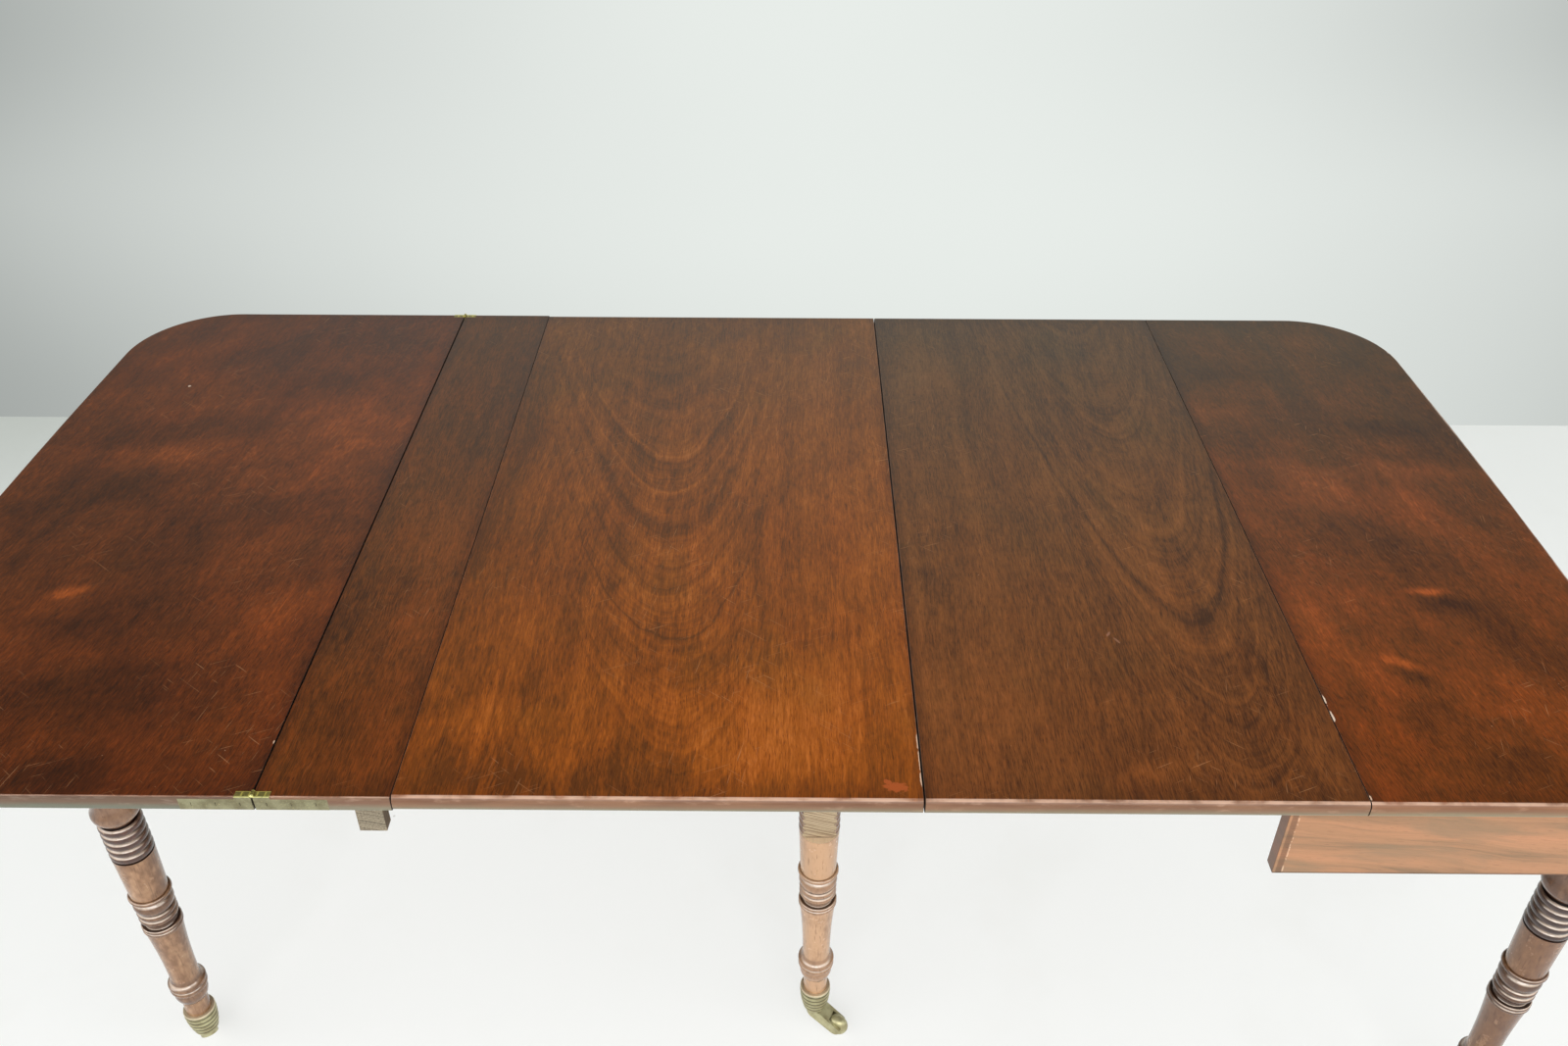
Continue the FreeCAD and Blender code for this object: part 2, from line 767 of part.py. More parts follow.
class Frame:
    """One pair of legs: the pieces of its blocks and the cutters that its joints ask for."""

    def __init__(self, name, x, y, block_span):
        self.name = name
        self.x = x
        self.y = y
        self.block_span = block_span
        self.cutters = {way: [] for way in SIDES}

    def leg(self, way, head):
        """A turned leg under its head, a block or a tenon, with the joints cut out of it."""
        side = SIDES[way]
        shaft = turned(f"{way}_{self.name}_shaft", leg_outline())
        move_to(shaft, self.x, side * self.y, 0)
        whole = join(f"{way}_{self.name}_whole", [shaft, head])
        return node(cut(f"{way}_{self.name}_leg", whole, self.cutters[way]))

    def block(self, way):
        """The square head of a leg."""
        centre = SIDES[way] * self.y
        return box(
            f"{way}_{self.name}_block",
            (self.x - half_block, self.x + half_block),
            (centre - half_block, centre + half_block),
            self.block_span,
        )

    def caps(self):
        """The brass cups of both legs."""
        cups = []
        for way, side in SIDES.items():
            cup = turned(f"{way}_{self.name}_cap", cap_outline())
            move_to(cup, self.x, side * self.y, 0)
            cups.append(cup)
        node(group(f"{self.name}_leg_caps", cups))


def mortise_and_tenon(name, x, y, z, into):
    """A tenon, and the mortise for it, which is open by the fit on every side."""
    tenon = box(f"{name}_tenon", x, y, z)
    spans = [with_fit(span, sizes.joint_fit) for span in (x, y, z)]
    into.append(box(f"{name}_mortise", *spans))
    return tenon


def butt_hinge(name, pivot, leafward, pin_side, clearance):
    """Butt hinge on an upright pivot: its plates by side of X, and the cutters for the wood there.

    The plates reach from the pivot along Y, the way of leafward; the plate on pin_side holds the
    outer knuckles and the pin.
    """
    x, y = pivot
    numbers = counted(sizes.knuckle_count)
    pitch = sizes.hinge_height / sizes.knuckle_count
    bands = [(hinge_foot + pitch * number, hinge_foot + pitch * (number + 1)) for number in numbers]
    reach = (y, y + leafward * sizes.hinge_reach)
    height = (hinge_foot, hinge_top)
    groove = sizes.knuckle_radius + sizes.knuckle_room
    plates, cutters = {}, {}
    for hand, side in (("left", -1), ("right", 1)):
        label = f"{name}_{hand}"
        first = 0 if side == pin_side else 1
        own = numbers[first::2]
        other = numbers[1 - first::2]
        depth = (x + side * half_gap, x + side * (half_gap + sizes.hinge_plate))
        leaf = box(f"{label}_plate", depth, reach, height)
        notches = [upright_rod(f"{label}_notch_{number}", x, y, bands[number], groove) for number in other]
        solids = [cut(f"{label}_notched", leaf, notches)]
        for number in own:
            low, high = bands[number]
            span = (low + sizes.knuckle_gap / 2, high - sizes.knuckle_gap / 2)
            solids.append(upright_rod(f"{label}_knuckle_{number}", x, y, span, sizes.knuckle_radius))
        bore = upright_rod(f"{label}_bore", x, y, height, sizes.hinge_pin_radius + clearance)
        plates[side] = [cut(label, join(f"{label}_whole", solids), [bore])]
        cutters[side] = [
            box(f"{label}_recess", depth, reach, height),
            upright_rod(f"{label}_groove", x, y, with_fit(height, sizes.knuckle_gap), groove),
        ]
    pin = upright_rod(f"{name}_pin", x, y, height, sizes.hinge_pin_radius)
    plates[pin_side].append(pin)
    return plates, cutters


def make_hinges():
    """All butt hinges of the folding frame, as plates and cutters gathered by the piece they are on."""
    plates, cutters = {}, {}
    for way, side in SIDES.items():
        running = sizes.pin_clearance
        opened = running if way == "near" else sizes.open_pivot_clearance
        joints = (
            ("end", end_pivot, rail_in, 1, f"{way}_rail_1", "end_frame", opened),
            ("inner_fold", inner_fold, rail_out, -1, f"{way}_rail_2", f"{way}_rail_1", running),
            ("middle_right", middle_pivot_right, rail_in, 1, "middle_frame", f"{way}_rail_2", running),
            ("middle_left", middle_pivot_left, rail_in, 1, f"{way}_rail_3", "middle_frame", running),
            ("outer_fold", outer_fold, rail_out, -1, f"{way}_rail_4", f"{way}_rail_3", running),
            ("outer", outer_pivot, rail_in, 1, "outer_frame", f"{way}_rail_4", opened),
        )
        for joint, x, y, outwards, left, right, clearance in joints:
            name = f"{way}_{joint}_hinge"
            leaves_by_side, wood_by_side = butt_hinge(name, (x, side * y), side * outwards, 1, clearance)
            for hand, piece in ((-1, left), (1, right)):
                plates.setdefault(piece, []).extend(leaves_by_side[hand])
                cutters.setdefault((piece, way), []).extend(wood_by_side[hand])
    for piece, solids in plates.items():
        node(group(f"{piece}_hinges", solids))
    return cutters


def make_rails(hinge_cutters):
    """The eight rails that fold inwards in pairs."""
    ends = ((inner_fold, end_pivot), (middle_pivot_right, inner_fold))
    ends += ((outer_fold, middle_pivot_left), (outer_pivot, outer_fold))
    for way, side in SIDES.items():
        for number, (left, right) in enumerate(ends, start=1):
            name = f"{way}_rail_{number}"
            blank = box(
                f"{name}_blank",
                (left + half_gap, right - half_gap),
                (side * rail_in, side * rail_out),
                (rail_foot, rail_top),
            )
            node(cut(name, blank, hinge_cutters[name, way]))


def make_end_frame(hinge_cutters):
    """Fixed end: aprons tenoned into two legs, a rear rail and the blocks that carry the rails."""
    frame = Frame("end", end_leg_x, end_leg_y, (apron_foot, underside))
    heights = tenon_span(apron_foot, underside)
    apron_right = end_leg_x + half_block - sizes.end_apron_setback
    apron_left = apron_right - sizes.end_apron_thickness
    apron_middle = (apron_left + apron_right) / 2
    half_tenon = sizes.tenon_thickness / 2
    leg_face = end_leg_x - half_block
    inner_face = end_leg_y - half_block

    across = (apron_left, apron_right)
    solids = [box("end_apron_board", across, (-inner_face, inner_face), (apron_foot, underside))]
    for way, side in SIDES.items():
        solids.append(
            mortise_and_tenon(
                f"{way}_end_apron",
                (apron_middle - half_tenon, apron_middle + half_tenon),
                (side * inner_face, side * (inner_face + sizes.tenon_length)),
                heights,
                frame.cutters[way],
            )
        )
    node(join("end_apron", solids))

    apron_top = underside - sizes.seat_gap
    apron_centre = (apron_in + apron_out) / 2
    for way, side in SIDES.items():
        board = box(
            f"{way}_side_apron_board",
            (leg_face - sizes.side_apron_length, leg_face),
            (side * apron_in, side * apron_out),
            (apron_foot, apron_top),
        )
        tenon = mortise_and_tenon(
            f"{way}_side_apron",
            (leg_face, leg_face + sizes.tenon_length),
            (side * (apron_centre - half_tenon), side * (apron_centre + half_tenon)),
            heights,
            frame.cutters[way],
        )
        node(join(f"{way}_side_apron", [board, tenon]))

    rear_left = end_left + sizes.rear_rail_setback
    rear_rail = box(
        "rear_top_rail",
        (rear_left, rear_left + sizes.rear_rail_width),
        (-apron_in, apron_in),
        (underside - sizes.rear_rail_height, underside),
    )
    node(rear_rail)

    blocks = []
    for way, side in SIDES.items():
        blank = box(
            f"{way}_hinge_block_blank",
            (leg_face, apron_left),
            (side * (rail_in - sizes.hinge_block_margin), side * (rail_out + sizes.hinge_block_margin)),
            (rail_foot, rail_top),
        )
        blocks.append(cut(f"{way}_hinge_block", blank, hinge_cutters["end_frame", way]))
    node(group("end_hinge_blocks", blocks))

    for way in SIDES:
        frame.leg(way, frame.block(way))
    frame.caps()
    return frame


def make_middle_frame(hinge_cutters):
    """Middle legs, tenoned into a deep cross rail and flattened where the outer legs pass them."""
    frame = Frame("middle", middle_leg_x, middle_leg_y, None)
    reach = rail_out + sizes.beam_overhang
    beam = box(
        "middle_cross_rail_blank",
        (middle_leg_x - half_block, middle_leg_x + half_block),
        (-reach, reach),
        (apron_foot, rail_top),
    )
    beam_cutters = []
    ring_edge = sizes.ring_radius + sizes.ring_rise
    half_tenon = sizes.leg_tenon / 2
    for way, side in SIDES.items():
        beam_cutters += hinge_cutters["middle_frame", way]
        centre = side * middle_leg_y
        tenon = mortise_and_tenon(
            f"{way}_middle_leg",
            (middle_leg_x - half_tenon, middle_leg_x + half_tenon),
            (centre - half_tenon, centre + half_tenon),
            (apron_foot, apron_foot + sizes.leg_tenon_length),
            beam_cutters,
        )
        flat = box(
            f"{way}_middle_leg_flat",
            (middle_leg_x - sizes.leg_block, middle_leg_x + sizes.leg_block),
            (centre + side * (ring_edge - sizes.leg_flat_depth), centre + side * sizes.leg_block),
            (flat_foot, apron_foot),
        )
        frame.cutters[way].append(flat)
        frame.leg(way, tenon)
    node(cut("middle_cross_rail", beam, beam_cutters))
    frame.caps()
    return frame


def make_outer_frame(hinge_cutters):
    """Outer legs, joined by a cross rail under the flap."""
    top = underside - sizes.seat_gap
    frame = Frame("outer", outer_leg_x, outer_leg_y, (apron_foot, top))
    half_rail = sizes.cross_rail_thickness / 2
    half_tenon = sizes.tenon_thickness / 2
    inner_face = outer_leg_y - half_block
    across = (outer_leg_x - half_rail, outer_leg_x + half_rail)
    solids = [box("outer_cross_rail_board", across, (-inner_face, inner_face), (apron_foot, top))]
    for way, side in SIDES.items():
        frame.cutters[way] += hinge_cutters["outer_frame", way]
        solids.append(
            mortise_and_tenon(
                f"{way}_outer_cross_rail",
                (outer_leg_x - half_tenon, outer_leg_x + half_tenon),
                (side * inner_face, side * (inner_face + sizes.tenon_length)),
                tenon_span(apron_foot, top),
                frame.cutters[way],
            )
        )
        frame.leg(way, frame.block(way))
    node(join("outer_cross_rail", solids))
    frame.caps()
    return frame


def horn_outline():
    """Side view of a caster horn, with the swivel axis at 0 and the wheel trailing along +X."""
    head_top = sizes.cap_bottom - sizes.swivel_gap
    head_foot = head_top - sizes.horn_head_height
    boss = sizes.horn_boss_radius
    start_x, start_z = turned_by(HORN_ARC_START)
    end_x, end_z = turned_by(HORN_ARC_END)
    return [
        (-sizes.horn_head_radius, head_top, None),
        (-sizes.horn_head_radius, head_foot, None),
        (sizes.caster_trail + boss * start_x, sizes.wheel_radius + boss * start_z, -boss),
        (sizes.caster_trail + boss * end_x, sizes.wheel_radius + boss * end_z, None),
        (sizes.horn_head_radius, head_top, None),
    ]


def wheel_outline():
    """Half section of a barrel-shaped wheel about its axle."""
    half = sizes.wheel_width / 2
    bore = sizes.axle_radius + sizes.pin_clearance
    wheel = Turning(bore, half)
    wheel.run_to(sizes.wheel_side_radius)
    wheel.bead(sizes.wheel_width, sizes.wheel_radius - sizes.wheel_side_radius)
    wheel.run_to(bore)
    return wheel.close()


def make_caster(name, x, y, degrees):
    """A brass horn on its swivel pin, with an axle and a wheel, trailing the given way."""
    half_slot = sizes.wheel_width / 2 + sizes.wheel_side_room
    half_horn = half_slot + sizes.horn_cheek
    head_top = sizes.cap_bottom - sizes.swivel_gap
    axle_bore = sizes.axle_radius + sizes.pin_clearance
    trail = sizes.caster_trail
    height = sizes.wheel_radius
    blank = padded(f"{name}_horn_blank", "XZ_Plane", horn_outline(), 2 * half_horn, symmetric=True)
    pin_span = (head_top, sizes.cap_bottom + sizes.cap_floor)
    pin = upright_rod(f"{name}_swivel_pin", 0, 0, pin_span, sizes.swivel_pin_radius)
    whole = join(f"{name}_horn_whole", [blank, pin])
    slot_radius = sizes.wheel_radius + sizes.wheel_room
    slot = cross_rod(f"{name}_slot", trail, (-half_slot, half_slot), height, slot_radius)
    bore = cross_rod(f"{name}_axle_bore", trail, (-half_horn, half_horn), height, axle_bore)
    axle = cross_rod(f"{name}_axle", trail, (-half_horn, half_horn), height, sizes.axle_radius)
    reach = sizes.horn_head_radius * 2
    head_span = (0, head_top)
    head_blank = box(f"{name}_head_blank", (-reach, 0), (-reach, reach), head_span)
    head_round = upright_rod(f"{name}_head_round", 0, 0, head_span, sizes.horn_head_radius)
    head_corners = cut(f"{name}_head_corners", head_blank, [head_round])
    solid = cut(f"{name}_horn", whole, [slot, bore, head_corners])
    horn = node(group(f"{name}_caster_horn", [solid, axle]))
    spin = Rotation(Vector(0, 0, 1), degrees)
    horn.Placement = Placement(Vector(), spin)
    move_to(horn, x, y, 0)

    cosine, sine = turned_by(degrees)
    wheel = node(turned(f"{name}_caster_wheel", wheel_outline()))
    wheel.Placement = Placement(Vector(), spin.multiply(Rotation(Vector(1, 0, 0), 90)))
    move_to(wheel, x + trail * cosine, y + trail * sine, height)


def make_table():
    """Every piece of the table."""
    make_top()
    make_battens()
    hinge_cutters = make_hinges()
    make_rails(hinge_cutters)
    frames = (
        make_end_frame(hinge_cutters),
        make_middle_frame(hinge_cutters),
        make_outer_frame(hinge_cutters),
    )
    for frame in frames:
        for way, side in SIDES.items():
            name = f"{way}_{frame.name}"
            make_caster(name, frame.x, side * frame.y, CASTER_ANGLES[name])


def check_and_write():
    """Stops at anything that failed, then writes each piece to a file of its own."""
    doc.recompute()
    for thing in doc.Objects:
        if {"Invalid", "Error"} & set(thing.State):
            raise RuntimeError(f"{thing.Label} failed: {thing.State}")
    for piece in nodes:
        if piece.Shape.isNull() or not piece.Shape.isValid() or not piece.Shape.Solids:
            raise RuntimeError(f"{piece.Label} has no sound solid")
    os.makedirs("parts", exist_ok=True)
    for piece in nodes:
        piece.Shape.exportStep(os.path.join("parts", f"{piece.Label}.step"))


make_table()
check_and_write()
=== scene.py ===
import json
import math
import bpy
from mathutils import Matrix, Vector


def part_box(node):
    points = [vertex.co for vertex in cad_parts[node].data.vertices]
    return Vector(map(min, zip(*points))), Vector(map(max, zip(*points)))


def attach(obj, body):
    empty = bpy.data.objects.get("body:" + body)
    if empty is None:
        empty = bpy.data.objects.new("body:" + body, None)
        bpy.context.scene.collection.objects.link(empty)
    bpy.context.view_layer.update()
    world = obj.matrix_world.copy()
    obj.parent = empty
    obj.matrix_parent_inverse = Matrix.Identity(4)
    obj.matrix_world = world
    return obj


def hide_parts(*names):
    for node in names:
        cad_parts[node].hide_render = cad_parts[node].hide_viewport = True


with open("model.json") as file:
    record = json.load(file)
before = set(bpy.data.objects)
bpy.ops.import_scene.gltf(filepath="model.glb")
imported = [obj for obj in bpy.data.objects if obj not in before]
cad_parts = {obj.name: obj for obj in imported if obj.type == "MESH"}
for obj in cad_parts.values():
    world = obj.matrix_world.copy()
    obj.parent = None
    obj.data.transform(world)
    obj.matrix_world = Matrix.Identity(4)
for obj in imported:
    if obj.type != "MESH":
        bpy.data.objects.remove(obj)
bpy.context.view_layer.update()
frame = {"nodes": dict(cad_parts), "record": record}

from types import SimpleNamespace

import bmesh
import bpy
from bpy.props import FloatProperty, FloatVectorProperty, PointerProperty
from mathutils import Matrix, Vector

bl_info = {
    "name": "Concertina dining table",
    "version": (1, 0, 0),
    "blender": (4, 5, 0),
    "location": "View3D > Sidebar > Table",
    "description": "Finishes the boards, legs and fittings of an extending table and sets its stage",
    "category": "Object",
}

NODES = frame["nodes"]

# Places on the CAD model, in metres
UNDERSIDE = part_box("wide_leaf_top")[0].z
TOP_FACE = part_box("wide_leaf_top")[1].z
HALF_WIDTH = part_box("wide_leaf_top")[1].y
APRON_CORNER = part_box("near_side_apron")[0]
APRON_JOINT = 0.0115
SAWN_FLAT = 0.4085
SAWN_FOOT = 0.449
CUP_FOOT = 0.046
CUP_HEAD = 0.092
CUP_BAND = 0.009
CUP_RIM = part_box("middle_leg_caps")[1].z
TAB_PITCH = 0.0045
TAB_BACK = 0.5914
TAB_FRONT = 0.5978
# Foot and head of each group of rings on a leg, and how dark the group is painted: old polish, and painted
# shade in the darkest group under the top
RING_ZONES = ((0.126, 0.180, 0.55), (0.294, 0.369, 0.65), (0.449, 0.518, 1.2), (0.521, 0.568, 0.6))

# How the wooden pieces are softened
WELD = 1e-6
FLAT_JOIN = math.radians(0.5)
SHARP_CORNER = math.radians(35)
SHADE_BREAK = math.radians(50)

# Share of a speck's radius that has its full strength
SPECK_CORE = 0.4


def paint(red, green, blue):
    """Linear colour of a paint that is given from 0 to 255."""
    row = []
    for level in (red, green, blue):
        part = level / 255
        row.append(part / 12.92 if part <= 0.04045 else ((part + 0.055) / 1.055) ** 2.4)
    return (*row, 1.0)


def dyed(shade, tint, share=1.0):
    """A colour multiplied by a share of a tint."""
    return (*(level * (1 - share + share * part) for level, part in zip(shade[:3], tint[:3])), 1.0)


def colour(name, description, shade):
    """Colour that a user may change."""
    return FloatVectorProperty(
        name=name, description=description, default=paint(*shade), size=4, subtype="COLOR", min=0, max=1
    )


def number(name, description, default, **kinds):
    """Number that a user may change."""
    return FloatProperty(name=name, description=description, default=default, **kinds)


def pointer(group, name, description):
    """Group of settings inside another."""
    return PointerProperty(type=group, name=name, description=description)


def board_colours(board, *shades):
    """Group of the four colours of one board."""
    group = board.title().replace(" ", "") + "Colours"
    rows = {}
    for (key, use), shade in zip(SHADE_USES.items(), shades):
        rows[key] = colour(key.title(), f"{use} of the {board}", shade)
    about = {"__doc__": f"Mahogany of the {board}.", "__annotations__": rows}
    return type(group, (bpy.types.PropertyGroup,), about)


# Colours and sizes that a user may change

SHADE_USES = {"dark": "Smoky parts", "body": "Main brown", "bright": "Bands", "glow": "Brightest grain"}
FlapColours = board_colours("flap", (61, 31, 8), (95, 48, 14), (122, 61, 18), (177, 90, 32))
StripColours = board_colours("strip", (65, 37, 13), (103, 57, 17), (131, 70, 21), (158, 82, 38))
WideLeafColours = board_colours("wide leaf", (97, 53, 13), (135, 72, 16), (160, 87, 23), (194, 113, 55))
NarrowLeafColours = board_colours("narrow leaf", (70, 41, 17), (107, 64, 26), (129, 78, 32), (156, 94, 46))
FixedEndColours = board_colours("fixed end", (65, 33, 11), (104, 56, 17), (133, 67, 21), (188, 95, 40))


class WoodColours(bpy.types.PropertyGroup):
    """Edges of the boards and woods below the top."""

    edge: colour("Board edge", "Rubbed edge of the boards", (134, 96, 72))
    edge_foot: colour("Edge foot", "Grey lower part of the board edge", (128, 122, 100))
    # The arris colour is wear, and on the board crests also a painted highlight
    arris: colour("Arris", "Worn corner of the boards", (206, 168, 144))
    raw: colour("Raw wood", "Unpolished underside", (112, 84, 58))
    apron: colour("Apron", "Polished side aprons", (160, 116, 82))
    apron_dark: colour("Apron streaks", "Dark figure of the aprons", (128, 98, 70))
    leg: colour("Leg", "Turned legs", (122, 86, 58))
    # Old polish and painted shade in the grooves of the legs
    leg_groove_polish_and_shade: colour("Leg grooves", "Old polish in the grooves of the legs", (38, 20, 15))
    # Painted highlight on the upper faces of the legs' rings
    leg_ring_highlight: colour("Ring crown", "Upper faces of the legs' rings", (214, 192, 172))
    leg_bright: colour("Leg highlights", "Rubbed wood of the legs", (186, 146, 110))
    sawn: colour("Sawn flat", "Bare flat on the middle legs", (184, 165, 135))
    batten: colour("Batten", "Rough bearers under the leaves", (112, 96, 76))
    rail: colour("Rail", "Planed folding rails", (136, 104, 72))


class MetalColours(bpy.types.PropertyGroup):
    """Brass and iron fittings."""

    brass: colour("Brass", "Tarnished brass", (187, 182, 142))
    brass_dark: colour("Tarnish", "Darkest tarnish on the brass", (150, 141, 104))
    brass_bright: colour("Rubbed brass", "Brass that is rubbed bright", (228, 212, 146))
    # Grime and painted shade in the grooves of the brass
    grime: colour("Grime", "Dirt in the grooves of the brass", (62, 54, 36))
    iron: colour("Iron", "Butt hinges of the frame", (70, 64, 58))


class StageSettings(bpy.types.PropertyGroup):
    """Room, light and camera."""

    wall_place: number("Wall", "Distance of the wall behind the table", 1.43, unit="LENGTH")
    wall_colour: colour("Wall colour", "Painted wall where it is brightest", (232, 237, 233))
    upper_colour: colour("Upper room", "Dim upper part of the wall and the room", (96, 100, 99))
    floor_colour: colour("Floor colour", "Painted floor where it is brightest", (253, 254, 252))
    floor_glow: number(
        "Floor glow", "Share of the floor that shows without shadow", 0.62, min=0, max=1, subtype="FACTOR"
    )
    window_power: number("Window light", "Power of the soft light in front", 150, unit="POWER")
    side_share: number(
        "Side light", "Power of each side light as a share of the front", 0.5, min=0, max=2, subtype="FACTOR"
    )
    ambient: number("Ambient", "Strength of the light from all round", 0.5, min=0, max=2, subtype="FACTOR")
    eye: FloatVectorProperty(
        name="Eye", description="Place of the camera", default=(0.0523, -1.6334, 1.8554),
        subtype="XYZ", unit="LENGTH",
    )
    lens: number("Lens", "Focal length of the camera", 30.42, min=1, unit="CAMERA")
    pitch: number("Pitch", "Angle of the camera below level", math.radians(35.595), unit="ROTATION")
    yaw: number("Yaw", "Angle of the camera to the left", math.radians(0.296), unit="ROTATION")
    roll: number("Roll", "Tilt of the camera", math.radians(0.182), unit="ROTATION")


class TableSettings(bpy.types.PropertyGroup):
    """Everything that can be changed on the table."""

    flap: pointer(FlapColours, "Flap", "Colours of the flap")
    strip: pointer(StripColours, "Strip", "Colours of the hinge strip")
    wide: pointer(WideLeafColours, "Wide leaf", "Colours of the wide leaf")
    narrow: pointer(NarrowLeafColours, "Narrow leaf", "Colours of the narrow leaf")
    end: pointer(FixedEndColours, "Fixed end", "Colours of the fixed end")
    wood: pointer(WoodColours, "Woods", "Colours of the edges and of the woods below the top")
    metal: pointer(MetalColours, "Metals", "Colours of the fittings")
    stage: pointer(StageSettings, "Stage", "Room, light and camera")
    wood_arris: number("Wood arris", "Width of the softened corners of the wood", 0.0007, unit="LENGTH")


def settings():
    """The table's settings in this scene."""
    return bpy.context.scene.concertina_table


# Shader sums


class Wire:
    """A shader socket that takes part in sums; each operation adds a Math node."""

    def __init__(self, finish, socket):
        self.finish = finish
        self.socket = socket

    def sum(self, operation, *values):
        return self.finish.node("ShaderNodeMath", {"operation": operation}, dict(enumerate(values)))

    def __add__(self, other):
        return self.sum("ADD", self, other)

    def __radd__(self, other):
        return self.sum("ADD", other, self)

    def __sub__(self, other):
        return self.sum("SUBTRACT", self, other)

    def __rsub__(self, other):
        return self.sum("SUBTRACT", other, self)

    def __mul__(self, other):
        return self.sum("MULTIPLY", self, other)

    def __rmul__(self, other):
        return self.sum("MULTIPLY", other, self)

    def __abs__(self):
        return self.sum("ABSOLUTE", self)

    def least(self, other):
        return self.sum("MINIMUM", self, other)

    def most(self, other):
        return self.sum("MAXIMUM", self, other)

    def capped(self, limit, soft):
        """Levels off smoothly below the limit."""
        return self.sum("SMOOTH_MIN", self, limit, soft)

    def fold(self, span):
        """Goes up and down between 0 and the span."""
        return self.sum("PINGPONG", self, span)

    def rise(self, start, end):
        """0 before start and 1 after end, smooth between; start may be the greater."""
        low, high = (0.0, 1.0) if start < end else (1.0, 0.0)
        values = {0: self, 1: min(start, end), 2: max(start, end), 3: low, 4: high}
        return self.finish.node("ShaderNodeMapRange", {"interpolation_type": "SMOOTHSTEP"}, values)


class Tree:
    """Node tree of a material or of the room's light."""

    def __init__(self, owner):
        self.owner = owner
        owner.use_nodes = True
        self.tree = owner.node_tree
        self.tree.nodes.clear()

    def node(self, kind, values=None, sockets=None, output=0):
        """Adds a node: first its settings, then the values or wires of its sockets."""
        made = self.tree.nodes.new(kind)
        for key, value in (values or {}).items():
            if key == "stops":
                self.set_stops(made.color_ramp, value)
            else:
                setattr(made, key, value)
        for key, value in (sockets or {}).items():
            if isinstance(value, Wire):
                self.tree.links.new(value.socket, made.inputs[key])
            else:
                made.inputs[key].default_value = value
        return Wire(self, made.outputs[output]) if len(made.outputs) else made

    @staticmethod
    def set_stops(ramp, stops):
        while len(ramp.elements) < len(stops):
            ramp.elements.new(1.0)
        for element, (position, shade) in zip(ramp.elements, stops):
            element.position = position
            element.color = shade

    def parts(self, vector):
        """The three parts of a vector."""
        first = self.node("ShaderNodeSeparateXYZ", sockets={0: vector})
        outputs = first.socket.node.outputs
        return [Wire(self, outputs[axis]) for axis in range(3)]

    def blend(self, way, share, first, second):
        """Joins two colours; 6, 7 and 2 are the Mix node's colour sockets."""
        kinds = {"data_type": "RGBA", "blend_type": way, "clamp_factor": True}
        return self.node("ShaderNodeMix", kinds, {0: share, 6: first, 7: second}, output=2)

    def mix(self, share, first, second):
        """Goes from the first colour to the second."""
        return self.blend("MIX", share, first, second)

    def tinted(self, share, first, second):
        """The first colour, multiplied by the second where the share says so."""
        return self.blend("MULTIPLY", share, first, second)

    def room_seen(self):
        """1 for rays that show the room itself, from the camera or off a polished surface."""
        seen = self.node("ShaderNodeLightPath", output="Is Camera Ray")
        outputs = seen.socket.node.outputs
        for ray in ("Is Glossy Ray", "Is Transmission Ray"):
            seen = seen.most(Wire(self, outputs[ray]))
        return seen


